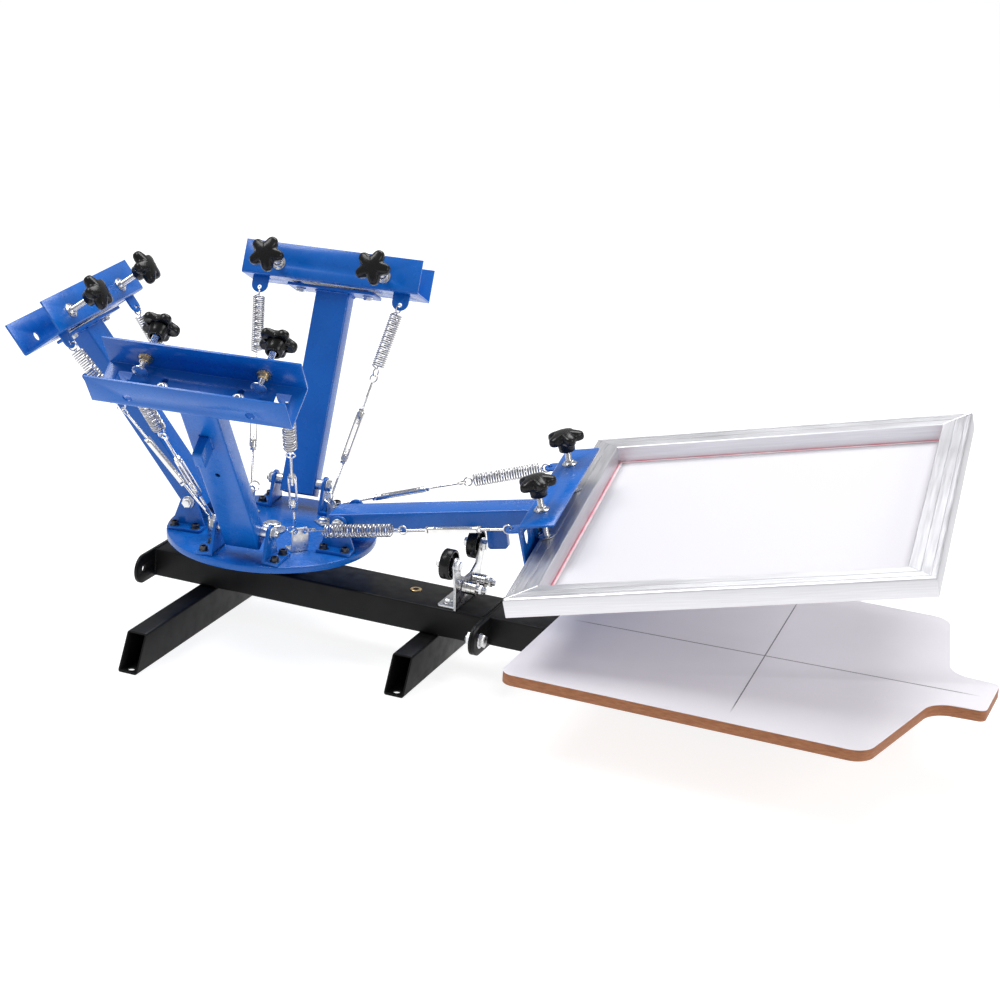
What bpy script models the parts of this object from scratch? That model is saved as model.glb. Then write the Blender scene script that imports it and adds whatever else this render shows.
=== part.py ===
"""Screen printing carousel: a tabletop press with four sprung arms on a turntable.

Run with: blender --background --python part.py
Metres, +Z up, +X from the turntable towards the platen. The origin is the centre of
the rear foot's underside, below the beam.
"""

import math

import bmesh
import bpy
from mathutils import Matrix, Vector

GAP = 0.0003  # between neighbouring pieces

# Base: two feet, the beam across them and the platen arm bolted to its end.
FOOT_W, FOOT_H, FOOT_WALL = 0.027, 0.0475, 0.0022
FOOT_SLANT = 0.024
FEET = {"foot_rear": (0.0, 0.2405), "foot_front": (0.3175, 0.1375)}
FOOT_HOLE_R = 0.0045
BEAM_W, BEAM_H, BEAM_WALL = 0.077, 0.0385, 0.0025
BEAM_Z = FOOT_H + GAP + BEAM_H / 2
BEAM_TOP = BEAM_Z + BEAM_H / 2
AXIS_X = 0.074  # the turntable's axis
BEAM_X = (AXIS_X - 0.156, AXIS_X + 0.322)
FLANGE_T, EAR_Y, EAR_HOLE_R = 0.004, 0.067, 0.0047

# Platen and the tube that carries it.
PLATEN_X = (AXIS_X + 0.414, AXIS_X + 0.951)
PLATEN_W, PLATEN_T = 0.45, 0.0145
PLATEN_TOP = 0.1037
PLATEN_BODY_X = AXIS_X + 0.858
PLATEN_NECK_X = AXIS_X + 0.884
TAB_HALF_W = 0.0465
ARM_TUBE_END = AXIS_X + 0.80
MOUNT_PLATE = (0.20, 0.16)

# Registration gate on the beam.
GATE_X, GATE_T = AXIS_X + 0.2785, 0.003
GATE_TOP = 0.162
ROLLER_Y, ROLLER_Z, ROLLER_R, ROLLER_W = 0.0437, 0.150, 0.0195, 0.013
BEARING_Y, BEARING_Z, BEARING_R = 0.016, 0.1125, 0.0085
STUD_R = 0.004

# Turntable.
HOUSING_R, KING_R = 0.034, 0.008
DISC_R, DISC_T, DISC_TOP = 0.137, 0.009, 0.130
PIVOT_R, PIVOT_Z = 0.1026, 0.1648
TURN = math.radians(6.37)  # how far the turntable stands from the gate at rest
EAR_IN, EAR_T, EAR_TIP_R = 0.0335, 0.004, 0.011
BRACKET_L, BRACKET_FOOT = 0.046, 0.022
ANCHOR_R, ANCHOR_W, ANCHOR_H, ANCHOR_HOLE_R = 0.085, 0.024, 0.032, 0.0034
ANCHOR_HOLE = (0.0068, 0.0265)  # to each side, and above the disc

# Arms: the tube, and the channel that clamps a frame.
ARMS = {1: (0, 10.25), 2: (90, 65.0), 3: (180, 52.2), 4: (270, 54.7)}
ARM_W, ARM_H, ARM_WALL, ARM_Z = 0.0475, 0.0273, 0.002, -0.0035
ARM_BACK, WEB_S = 0.016, 0.267
END_PLATE = (0.124, 0.040, 0.004)
TONGUE = (0.200, 0.026, 0.012, 0.030)  # place, length, width, drop
PIVOT_BOLT_R = 0.004
HEAD_L, HEAD_D, HEAD_H, HEAD_T = 0.250, 0.046, 0.063, 0.003
HEAD_Z = 0.0013
HEAD_PITCH, HEAD_ROLL = math.radians(2.2), math.radians(5.46)
LUG_T, LUG_W, LUG_Z, LUG_REACH, LUG_HOLE_R, LUG_HOLE_IN = 0.100, 0.023, 0.0200, 0.023, 0.0032, 0.0075
SLOT_T, SLOT_L, SLOT_R = 0.048, 0.030, 0.0042

# Clamp screws with star knobs.
KNOB_T, KNOB_S = 0.0745, 0.0185
KNOB_LIFT = {1: 0.0, 2: 0.0180, 3: 0.0105, 4: 0.0115}
SCREW_R, PAD_R, PAD_T = 0.004, 0.010, 0.002
KNOB_R, KNOB_LOBES, KNOB_H, HUB_H = 0.0245, 5, 0.015, 0.0135

# Spring lines.
SPRING_R, SPRING_HOOK, WIRE_R, ROD_R = 0.0090, 0.0155, 0.0011, 0.0018
EYE_R, ANCHOR_EYE_R, EYE_GRIP, ANCHOR_LEAN = 0.0055, 0.0065, 0.0027, math.radians(35)
BUCKLE_L, BUCKLE_W, BUCKLE_T = 0.070, 0.011, 0.006
LINE_SPLIT, REVERSED_SPLIT = 0.180, 0.157  # where the turnbuckle's far eye ends
REVERSED_LINE = (1, "near")  # hangs with its turnbuckle at the lug

# Screen.
FRAME_L, FRAME_W, FRAME_H, BAR_W = 0.502, 0.508, 0.0233, 0.0355
FRAME_S = 0.0062  # from the web
MESH_T, MESH_GAP = 0.0006, 0.002

BLUE, BLACK = (0.012, 0.115, 0.56), (0.006, 0.006, 0.007)
ZINC, CHROME = (0.62, 0.64, 0.66), (0.75, 0.75, 0.76)
LAMINATE, PLASTIC = (0.82, 0.81, 0.83), (0.008, 0.008, 0.009)
ALUMINIUM, FABRIC = (0.72, 0.73, 0.75), (0.88, 0.88, 0.90)


def collection(name):
    made = bpy.data.collections.new(name)
    bpy.context.scene.collection.children.link(made)
    return made


def material(name, colour, roughness, metallic):
    made = bpy.data.materials.new(name)
    made.use_nodes = True
    shader = made.node_tree.nodes["Principled BSDF"]
    shader.inputs["Base Color"].default_value = (*colour, 1)
    shader.inputs["Roughness"].default_value = roughness
    shader.inputs["Metallic"].default_value = metallic
    return made


def empty(name, matrix, parent=None):
    """A guide that marks a joint or a piece's own frame. matrix is in the world."""
    made = bpy.data.objects.new(name, None)
    PARTS.objects.link(made)
    made.parent = parent
    made.matrix_world = matrix
    bpy.context.view_layer.update()
    return made


def joined(bodies):
    """One mesh object from several: the first, united with the others."""
    first = bodies[0]
    for other in bodies[1:]:
        boolean(first, other, "UNION")
    return first


def boolean(body, tool, operation):
    """Applies the Boolean at once, and keeps the tool among the cutters."""
    modifier = body.modifiers.new("boolean", "BOOLEAN")
    modifier.operation = operation
    modifier.solver = "EXACT"
    modifier.object = tool
    bpy.context.view_layer.update()
    seen = body.evaluated_get(bpy.context.evaluated_depsgraph_get())
    body.data = bpy.data.meshes.new_from_object(seen)
    body.modifiers.clear()
    for holder in list(tool.users_collection):
        holder.objects.unlink(tool)
    CUTTERS.objects.link(tool)
    tool.hide_render = True
    tool.display_type = "WIRE"
    return body


def cut(body, *tools):
    for tool in tools:
        boolean(body, tool, "DIFFERENCE")
    return body


def solid(mesh_maker, at=(0, 0, 0), turn=None):
    """An object in the cutters' frame from a function that fills a bmesh."""
    shape = bmesh.new()
    mesh_maker(shape)
    placed = Matrix.Translation(at) @ (turn or Matrix())
    bmesh.ops.transform(shape, matrix=placed, verts=shape.verts)
    mesh = bpy.data.meshes.new("shape")
    shape.to_mesh(mesh)
    shape.free()
    made = bpy.data.objects.new("shape", mesh)
    PARTS.objects.link(made)
    return made


def box(size, at):
    scale = Matrix.Diagonal((*size, 1))
    return solid(lambda shape: bmesh.ops.create_cube(shape, size=1, matrix=scale), at)


def span(low, high):
    """A box from its two opposite corners."""
    low, high = Vector(low), Vector(high)
    return box(high - low, (low + high) / 2)


AXES = {"X": Matrix.Rotation(math.pi / 2, 4, "Y"), "Y": Matrix.Rotation(-math.pi / 2, 4, "X"), "Z": Matrix()}


def cylinder(radius, length, at, axis="Z", sides=24, end_radius=None):
    """A cylinder about its own middle, or a cone with end_radius at the far end."""
    far = radius if end_radius is None else end_radius

    def fill(shape):
        bmesh.ops.create_cone(shape, cap_ends=True, segments=sides, radius1=radius,
                              radius2=far, depth=length)

    return solid(fill, at, AXES[axis])


def outline(points, thickness, at=(0, 0, 0), turn=None):
    """A flat plate from its outline in XY, centred on its own thickness."""

    def fill(shape):
        low = [shape.verts.new((x, y, -thickness / 2)) for x, y in points]
        face = shape.faces.new(low)
        grown = bmesh.ops.extrude_face_region(shape, geom=[face])
        raised = [v for v in grown["geom"] if isinstance(v, bmesh.types.BMVert)]
        bmesh.ops.translate(shape, verts=raised, vec=(0, 0, thickness))
        bmesh.ops.recalc_face_normals(shape, faces=shape.faces)

    return solid(fill, at, turn)


def arc(centre, radius, start, end, steps=8):
    """Points on an arc, with the angles in degrees."""
    angles = [math.radians(start + (end - start) * i / steps) for i in range(steps + 1)]
    return [(centre[0] + radius * math.cos(a), centre[1] + radius * math.sin(a)) for a in angles]


def ring(radius, wire, at, turn=None, around=12):
    """A torus in XY, turned by a matrix."""
    profile = bpy.data.curves.new("ring", "CURVE")
    profile.dimensions = "3D"
    profile.bevel_depth = wire
    profile.bevel_resolution = 0
    spline = profile.splines.new("POLY")
    spline.points.add(around - 1)
    for i, point in enumerate(spline.points):
        a = math.tau * i / around
        point.co = (radius * math.cos(a), radius * math.sin(a), 0, 1)
    spline.use_cyclic_u = True
    return mesh_from(profile, at, turn)


def rod(points, wire):
    """A straight or bent wire through the points, with filled ends."""
    profile = bpy.data.curves.new("rod", "CURVE")
    profile.dimensions = "3D"
    profile.bevel_depth = wire
    profile.bevel_resolution = 1
    profile.use_fill_caps = True
    spline = profile.splines.new("POLY")
    spline.points.add(len(points) - 1)
    for point, place in zip(spline.points, points):
        point.co = (*place, 1)
    return mesh_from(profile, (0, 0, 0), None)


def mesh_from(profile, at, turn):
    curve = bpy.data.objects.new("curve", profile)
    PARTS.objects.link(curve)
    curve.matrix_world = Matrix.Translation(at) @ (turn or Matrix())
    bpy.context.view_layer.update()
    seen = curve.evaluated_get(bpy.context.evaluated_depsgraph_get())
    mesh = bpy.data.meshes.new_from_object(seen)
    shape = bmesh.new()
    shape.from_mesh(mesh)
    bmesh.ops.remove_doubles(shape, verts=shape.verts, dist=0.00001)
    bmesh.ops.recalc_face_normals(shape, faces=shape.faces)
    bmesh.ops.transform(shape, matrix=curve.matrix_world, verts=shape.verts)
    shape.to_mesh(mesh)
    shape.free()
    made = bpy.data.objects.new("wire", mesh)
    PARTS.objects.link(made)
    bpy.data.objects.remove(curve)
    return made


def piece(name, body, paint, parent=None, smooth=True):
    """Names a finished body, paints it and hangs it on its parent's frame."""
    body.name = name
    body.data.name = name
    body.data.materials.clear()
    body.data.materials.append(paint)
    if parent:
        body.parent = parent
    if smooth:
        body.data.shade_smooth()
        body.data.set_sharp_from_angle(angle=math.radians(35))
    return body


# Base


def foot(name, x, half):
    """A rectangular tube with ends cut on a slant, longer below, and two bolt holes."""
    top = half - FOOT_SLANT
    side = [(-half, 0), (half, 0), (top, FOOT_H), (-top, FOOT_H)]
    upright = Matrix.Rotation(math.pi / 2, 4, "Z") @ Matrix.Rotation(math.pi / 2, 4, "X")
    body = outline(side, FOOT_W, (x, 0, 0), upright)
    inner = (FOOT_W - 2 * FOOT_WALL, 2 * half + 0.02, FOOT_H - 2 * FOOT_WALL)
    cut(body, box(inner, (x, 0, FOOT_H / 2)))
    for side in (-1, 1):
        cut(body, cylinder(FOOT_HOLE_R, 0.01, (x, side * (half - 0.011), 0), sides=16))
    return piece(name, body, BLACK_PAINT)


def eared_flange(x):
    """An end plate as high as the beam, with a round ear and a hole on each side."""
    radius = BEAM_H / 2
    points = arc((EAR_Y, 0), radius, -90, 90) + arc((-EAR_Y, 0), radius, 90, 270)
    across = Matrix.Rotation(math.pi / 2, 4, "Z") @ Matrix.Rotation(math.pi / 2, 4, "X")
    plate = outline(points, FLANGE_T, (x, 0, BEAM_Z), across)
    for side in (-1, 1):
        cut(plate, cylinder(EAR_HOLE_R, 0.02, (x, side * EAR_Y, BEAM_Z), "X", 16))
    return plate


def hollow(body, x_from, x_to):
    """Opens a beam's inside, with a round window through its end plates."""
    size = (x_to - x_from, BEAM_W - 2 * BEAM_WALL, BEAM_H - 2 * BEAM_WALL)
    middle = ((x_from + x_to) / 2, 0, BEAM_Z)
    return cut(body, box(size, middle), cylinder(0.011, size[0] + 0.1, middle, "X", 20))


def base_beam():
    left, right = BEAM_X
    tube = span((left + FLANGE_T, -BEAM_W / 2, BEAM_Z - BEAM_H / 2),
                (right - FLANGE_T, BEAM_W / 2, BEAM_TOP))
    body = joined([tube, eared_flange(left + FLANGE_T / 2), eared_flange(right - FLANGE_T / 2)])
    hollow(body, left + FLANGE_T + 0.001, right - FLANGE_T - 0.001)
    piece("base_beam", body, BLACK_PAINT)


def platen_arm():
    """The platen's tube, with its bolted flange and the plate that the board sits on."""
    start = BEAM_X[1] + GAP
    width = BEAM_W - 0.012
    tube = span((start + FLANGE_T / 2, -width / 2, BEAM_Z - BEAM_H / 2), (ARM_TUBE_END, width / 2, BEAM_TOP))
    plate_low, plate_high = BEAM_TOP - 0.001, PLATEN_TOP - PLATEN_T - GAP
    middle = (PLATEN_X[0] + PLATEN_BODY_X) / 2
    plate = span((middle - MOUNT_PLATE[0] / 2, -MOUNT_PLATE[1] / 2, plate_low),
                 (middle + MOUNT_PLATE[0] / 2, MOUNT_PLATE[1] / 2, plate_high))
    body = joined([tube, eared_flange(start + FLANGE_T / 2), plate])
    inner = (ARM_TUBE_END - start, width - 2 * BEAM_WALL, BEAM_H - 2 * BEAM_WALL)
    cut(body, box(inner, ((start + ARM_TUBE_END) / 2 + 0.006, 0, BEAM_Z)))
    cut(body, cylinder(0.011, 0.03, (start, 0, BEAM_Z), "X", 20))
    piece("platen_arm", body, BLACK_PAINT)


def platen_outline():
    """The board's half outline, from the back edge to the end of its tab, then mirrored."""
    half = PLATEN_W / 2
    back, end = PLATEN_X
    shoulder = PLATEN_BODY_X - 0.026
    points = arc((back + 0.016, half - 0.016), 0.016, 180, 90, 5)
    points += arc((shoulder, half - 0.026), 0.026, 90, 14, 7)
    points += arc((PLATEN_NECK_X + 0.032, TAB_HALF_W + 0.032), 0.032, 194, 266, 7)
    points += arc((end - 0.009, TAB_HALF_W - 0.011), 0.009, 80, 0, 4)
    return points + [(x, -y) for x, y in reversed(points)]


def platen_board():
    body = outline(platen_outline(), PLATEN_T, (0, 0, PLATEN_TOP - PLATEN_T / 2))
    piece("platen_board", body, material("laminate", LAMINATE, 0.35, 0))


# Registration gate


def gate():
    """A zinc plate with two roller ears, on a foot bolted to the beam."""
    low = BEAM_TOP + GAP + 0.0002
    half = BEAM_W / 2
    right = [(half, low), (half + 0.003, low + 0.03)]
    right += arc((ROLLER_Y, ROLLER_Z), 0.0095, 0, 160, 8)
    right += [(0.026, 0.131), (0.010, 0.1235)]
    points = right + [(-y, z) for y, z in reversed(right)]
    upright = Matrix.Rotation(math.pi / 2, 4, "Z") @ Matrix.Rotation(math.pi / 2, 4, "X")
    plate = outline(points, GATE_T, (GATE_X, 0, 0), upright)
    foot_plate = span((GATE_X - 0.026, -0.034, low - 0.0002), (GATE_X, 0.034, low + GATE_T))
    studs = [plate, foot_plate]
    for side in (-1, 1):
        y = side * ROLLER_Y
        studs.append(cylinder(STUD_R, 0.026, (GATE_X - 0.0105, y, ROLLER_Z), "X", 16))
        studs.append(cylinder(0.0075, 0.0055, (GATE_X + 0.004, y, ROLLER_Z), "X", 6))
        y = side * BEARING_Y
        studs.append(cylinder(STUD_R, 0.034, (GATE_X + 0.0155, y, BEARING_Z), "X", 16))
        studs.append(cylinder(0.0065, 0.005, (GATE_X + 0.028, y, BEARING_Z), "X", 6))
        studs.append(cylinder(0.0065, 0.005, (GATE_X - 0.0036, y, BEARING_Z), "X", 6))
    body = joined(studs)
    piece("gate_bracket", body, ZINC_PLATE)
    for side, word in ((-1, "near"), (1, "far")):
        middle = (GATE_X - GATE_T / 2 - 0.0008 - ROLLER_W / 2, side * ROLLER_Y, ROLLER_Z)
        wheel = cylinder(ROLLER_R, ROLLER_W, middle, "X", 32)
        cut(wheel, cylinder(STUD_R + 0.0003, 0.05, middle, "X", 16))
        piece(f"gate_roller_{word}", wheel, BLACK_PLASTIC)
        middle = (GATE_X + GATE_T / 2 + 0.0008 + 0.009, side * BEARING_Y, BEARING_Z)
        bearing = cylinder(BEARING_R, 0.018, middle, "X", 24)
        cut(bearing, cylinder(STUD_R + 0.0003, 0.05, middle, "X", 16))
        piece(f"gate_bearing_{word}", bearing, BRIGHT_CHROME)


# Turntable


def spindle():
    """The fixed housing under the disc, and the king bolt that the disc turns on."""
    low, high = BEAM_TOP + GAP, DISC_TOP - DISC_T - GAP
    housing = cylinder(HOUSING_R, high - low, (AXIS_X, 0, (low + high) / 2), sides=36)
    collar = cylinder(HOUSING_R + 0.012, 0.006, (AXIS_X, 0, low + 0.003), sides=36)
    body = joined([housing, collar])
    cut(body, cylinder(KING_R + GAP, 0.1, (AXIS_X, 0, high), sides=20))
    piece("spindle_housing", body, BLACK_PAINT)
    shank = cylinder(KING_R, DISC_TOP + 0.006 - low, (AXIS_X, 0, (DISC_TOP + 0.006 + low) / 2), sides=20)
    washer = cylinder(0.018, 0.002, (AXIS_X, 0, DISC_TOP + GAP + 0.001), sides=24)
    nut = cylinder(0.013, 0.009, (AXIS_X, 0, DISC_TOP + 0.0062), sides=6)
    piece("king_bolt", joined([shank, washer, nut]), ZINC_PLATE)


def turntable():
    disc = cylinder(DISC_R, DISC_T, (AXIS_X, 0, DISC_TOP - DISC_T / 2), sides=64)
    cut(disc, cylinder(KING_R + GAP, 0.1, (AXIS_X, 0, DISC_TOP), sides=20))
    piece("turntable_disc", disc, BLUE_PAINT)


def pivot_bracket(name, side, frame):
    """An angle: a round-topped ear for the arm's bolt, on a foot with two cap screws."""
    drop = PIVOT_Z - DISC_TOP - GAP
    half = BRACKET_L / 2
    inner = half - 0.0005
    points = [(-inner, -drop + 0.0005), (inner, -drop + 0.0005), (inner, -drop + 0.006)]
    points += arc((0, 0), EAR_TIP_R, 0, 180) + [(-inner, -drop + 0.006)]
    upright = Matrix.Rotation(math.pi / 2, 4, "X")
    middle = side * (EAR_IN + EAR_T / 2)
    ear = outline(points, EAR_T, (0, middle, 0), upright)
    outer = side * (EAR_IN + BRACKET_FOOT)
    low, high = sorted((side * (EAR_IN + 0.0006), outer))
    foot_plate = span((-half, low, -drop), (half, high, -drop + EAR_T))
    screws = [cylinder(0.0055, 0.006, (x, side * (EAR_IN + 0.0145), -drop + EAR_T + 0.0028), sides=12)
              for x in (-0.0145, 0.0145)]
    body = joined([ear, foot_plate] + screws)
    cut(body, cylinder(PIVOT_BOLT_R + 0.00035, 0.02, (0, middle, 0), "Y", 16))
    piece(name, body, BLUE_PAINT, frame)


def spring_anchor(number, frame):
    """A zinc angle that stands between two arms, with a hole for each one's line."""
    angle = [(-0.020, 0), (0.001, 0), (0.001, ANCHOR_H), (-0.001, ANCHOR_H), (-0.001, 0.002), (-0.020, 0.002)]
    body = outline(angle, ANCHOR_W, (ANCHOR_R, 0, DISC_TOP + GAP), Matrix.Rotation(math.pi / 2, 4, "X"))
    for side in (-1, 1):
        hole = (ANCHOR_R, side * ANCHOR_HOLE[0], DISC_TOP + ANCHOR_HOLE[1])
        cut(body, cylinder(ANCHOR_HOLE_R, 0.02, hole, "X", 16))
    piece(f"spring_anchor_{number}", body, ZINC_PLATE, frame)


# Arms


def arm_tube(number, frame):
    """The lever: a tube on its pivot bolt, the head's plate and the gate tongue below."""
    length = WEB_S - 0.003 - END_PLATE[2]
    tube = span((-ARM_BACK, -ARM_W / 2, ARM_Z - ARM_H / 2), (length, ARM_W / 2, ARM_Z + ARM_H / 2))
    inner = span((-ARM_BACK - 0.01, -ARM_W / 2 + ARM_WALL, ARM_Z - ARM_H / 2 + ARM_WALL),
                 (length - 0.004, ARM_W / 2 - ARM_WALL, ARM_Z + ARM_H / 2 - ARM_WALL))
    cut(tube, inner)
    plate = box((END_PLATE[2] + 0.001, END_PLATE[0], END_PLATE[1]), (length + 0.0015, 0, HEAD_Z))
    place, tongue_l, tongue_w, drop = TONGUE
    low = ARM_Z - ARM_H / 2
    tongue = span((place - tongue_l / 2, -tongue_w / 2, low - drop), (place + tongue_l / 2, tongue_w / 2, low + 0.001))
    bolt_end = EAR_IN + EAR_T
    bolt = cylinder(PIVOT_BOLT_R, 2 * bolt_end + 0.012, (0, 0, 0), "Y", 16)
    bodies = [tube, plate, tongue, bolt]
    for side in (-1, 1):
        bodies.append(cylinder(0.0075, 0.006, (0, side * (bolt_end + 0.0035), 0), "Y", 6))
        inside = (ARM_W / 2 + EAR_IN) / 2 - 0.0005
        bodies.append(cylinder(0.0075, EAR_IN - ARM_W / 2 - 0.0005, (0, side * inside, 0), "Y", 6))
        bodies.append(cylinder(0.0042, 0.011, (length - 0.0035, side * SLOT_T, HEAD_Z), "X", 6))
    piece(f"arm_{number}_tube", joined(bodies), BLUE_PAINT, frame)


def head_channel(number, frame):
    """A channel open outwards: web, two flanges, slots, screw holes and two spring lugs."""
    low, high = -HEAD_H / 2, HEAD_H / 2
    channel = [(0, low), (HEAD_D, low), (HEAD_D, low + HEAD_T), (HEAD_T, low + HEAD_T),
               (HEAD_T, high - HEAD_T), (HEAD_D, high - HEAD_T), (HEAD_D, high), (0, high)]
    bodies = [outline(channel, HEAD_L, (0, 0, 0), Matrix.Rotation(math.pi / 2, 4, "X"))]
    lug_z = LUG_Z - HEAD_Z
    for side in (-1, 1):
        tip = arc((-LUG_REACH + LUG_W / 2, side * LUG_T), LUG_W / 2, 90, 270, 8)
        points = [(0.001, side * LUG_T - LUG_W / 2), (0.001, side * LUG_T + LUG_W / 2)] + tip
        bodies.append(outline(points, 0.003, (0, 0, lug_z)))
    body = joined(bodies)
    for side in (-1, 1):
        cut(body, cylinder(LUG_HOLE_R, 0.02, (-LUG_REACH + LUG_HOLE_IN, side * LUG_T, lug_z), sides=12))
        for z in (-1, 1):
            cut(body, cylinder(SLOT_R, 0.02, (0, side * SLOT_T, z * (SLOT_L / 2 - SLOT_R)), "X", 16))
        cut(body, box((0.02, 2 * SLOT_R, SLOT_L - 2 * SLOT_R), (0, side * SLOT_T, 0)))
        cut(body, cylinder(SCREW_R + 0.0004, 0.02, (KNOB_S, side * KNOB_T, high), sides=16))
        cut(body, cylinder(0.0075, 0.02, (0.016, side * 0.0765, low), sides=16))
        cut(body, box((0.02, 0.020, 0.016), (0, side * LUG_T, lug_z - 0.0115)))
    piece(f"arm_{number}_head", body, BLUE_PAINT, frame)


def clamp_knob(number, word, side, frame):
    """A star knob on its screw, with the pressure pad at the bottom end."""
    lift = KNOB_LIFT[number]
    pad_low = -HEAD_H / 2 + HEAD_T + FRAME_H + 3 * GAP + lift
    star_low = HEAD_H / 2 + 0.0172 + HUB_H + lift
    x, y = KNOB_S, side * KNOB_T
    points = []
    for i in range(KNOB_LOBES * 6):
        a = math.tau * i / (KNOB_LOBES * 6)
        radius = KNOB_R * (0.86 + 0.14 * math.cos(KNOB_LOBES * a))
        points.append((radius * math.cos(a), radius * math.sin(a)))
    star = outline(points, KNOB_H, (x, y, star_low + KNOB_H / 2))
    hub = cylinder(0.0100, HUB_H + 0.001, (x, y, star_low - HUB_H / 2 + 0.0005), sides=20, end_radius=0.0115)
    screw = cylinder(SCREW_R, star_low - pad_low, (x, y, (star_low + pad_low) / 2), sides=16)
    pad = cylinder(PAD_R, PAD_T, (x, y, pad_low + PAD_T / 2), sides=24)
    piece(f"arm_{number}_clamp_{word}", joined([star, hub, screw, pad]), BLACK_PLASTIC, frame)


# Spring lines


def line_frame(start, end):
    """A frame at start whose x runs to end and whose y is level."""
    along = (end - start).normalized()
    level = Vector((0, 0, 1)).cross(along).normalized()
    turned = Matrix((along, level, along.cross(level))).transposed().to_4x4()
    return Matrix.Translation(start) @ turned


def eye(end, inward):
    """A wire eye that reaches to x, upright or flat in the line's frame, and where its rod starts.

    inward is 1 or -1 along the line. A leaning eye is turned about the point that it hangs by.
    """
    x, radius, upright, lean = end
    along = inward * radius * math.cos(lean)
    centre = (x + along, radius * math.sin(lean), 0)
    return ring(radius, WIRE_R, centre, AXES["Y"] if upright else None), x + 2 * along


def spring(name, first, last, frame):
    """The coil's outer shape, with a wire eye at each end. An end is (x, radius, upright, lean)."""
    coil_from, coil_to = first[0] + SPRING_HOOK, last[0] - SPRING_HOOK
    coil = cylinder(SPRING_R, coil_to - coil_from, ((coil_from + coil_to) / 2, 0, 0), "X", 12)
    start_eye, start = eye(first, 1)
    end_eye, end = eye(last, -1)
    wire = rod([(start, 0, 0), (end, 0, 0)], WIRE_R * 1.1)
    piece(name, joined([coil, wire, start_eye, end_eye]), BRIGHT_CHROME, frame)


def turnbuckle(name, middle, first, last, frame):
    """An open-sided body between two threaded rods, each with an eye at its end."""
    window = box((BUCKLE_L - 0.020, BUCKLE_W - 0.0044, 0.02), (middle, 0, 0))
    body = cut(box((BUCKLE_L, BUCKLE_W, BUCKLE_T), (middle, 0, 0)), window)
    inner = BUCKLE_L / 2 - 0.016
    start_eye, start = eye(first, 1)
    end_eye, end = eye(last, -1)
    rods = [rod([(start, 0, 0), (middle - inner, 0, 0)], ROD_R), rod([(middle + inner, 0, 0), (end, 0, 0)], ROD_R)]
    piece(name, joined([body, start_eye, end_eye] + rods), BRIGHT_CHROME, frame)


def spring_line(number, word, side, head):
    """The spring and turnbuckle that pull one side of an arm's head towards its anchor."""
    lug = head.matrix_world @ Vector((-LUG_REACH + LUG_HOLE_IN, side * LUG_T, LUG_Z - HEAD_Z))
    corner = TURN + math.radians(ARMS[number][0]) + side * math.pi / 4
    out = Vector((math.cos(corner), math.sin(corner), 0))
    across = Vector((-math.sin(corner), math.cos(corner), 0))
    anchor = Vector((AXIS_X, 0, DISC_TOP + ANCHOR_HOLE[1]))
    anchor += out * ANCHOR_R - across * side * ANCHOR_HOLE[0]
    length = (anchor - lug).length
    names = (f"arm_{number}_turnbuckle_{word}", f"arm_{number}_spring_{word}")
    if (number, word) == REVERSED_LINE:
        frame = empty(f"line_{number}_{word}", line_frame(lug, anchor))
        split = REVERSED_SPLIT
        lean = side * ANCHOR_LEAN
        turnbuckle(names[0], 0.080, (0, EYE_R, True, 0), (split, EYE_R, True, 0), frame)
        spring(names[1], (split - EYE_GRIP, EYE_R, False, 0), (length, ANCHOR_EYE_R, False, lean), frame)
    else:
        frame = empty(f"line_{number}_{word}", line_frame(anchor, lug))
        split = LINE_SPLIT
        lean = -side * ANCHOR_LEAN
        turnbuckle(names[0], 0.092, (0, ANCHOR_EYE_R, False, lean), (split, EYE_R, False, 0), frame)
        spring(names[1], (split - EYE_GRIP, EYE_R, True, 0), (length, EYE_R, True, 0), frame)


# Screen


def screen(head):
    """A mitred aluminium frame, and the mesh stretched under it."""
    low = -HEAD_H / 2 + HEAD_T + GAP
    back, half = HEAD_T + FRAME_S, FRAME_W / 2
    middle = back + FRAME_L / 2
    body = box((FRAME_L, FRAME_W, FRAME_H), (middle, 0, low + FRAME_H / 2))
    cut(body, box((FRAME_L - 2 * BAR_W, FRAME_W - 2 * BAR_W, 0.1), (middle, 0, low)))
    edge = body.modifiers.new("edge", "BEVEL")
    edge.width = 0.0015
    edge.limit_method = "ANGLE"
    piece("screen_frame", body, material("aluminium", ALUMINIUM, 0.3, 1), head)
    size = (FRAME_L - 2 * BAR_W - MESH_GAP, FRAME_W - 2 * BAR_W - MESH_GAP, MESH_T)
    mesh = box(size, (middle, 0, low + 0.0015))
    piece("screen_mesh", mesh, material("mesh", FABRIC, 0.6, 0), head, smooth=False)


for old in list(bpy.data.objects):
    bpy.data.objects.remove(old)
PARTS = collection("screen_printing_carousel")
CUTTERS = collection("cutters")
BLACK_PAINT = material("black_paint", BLACK, 0.45, 0)
BLUE_PAINT = material("blue_paint", BLUE, 0.35, 0)
ZINC_PLATE = material("zinc", ZINC, 0.3, 1)
BRIGHT_CHROME = material("chrome", CHROME, 0.2, 1)
BLACK_PLASTIC = material("black_plastic", PLASTIC, 0.4, 0)

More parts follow.
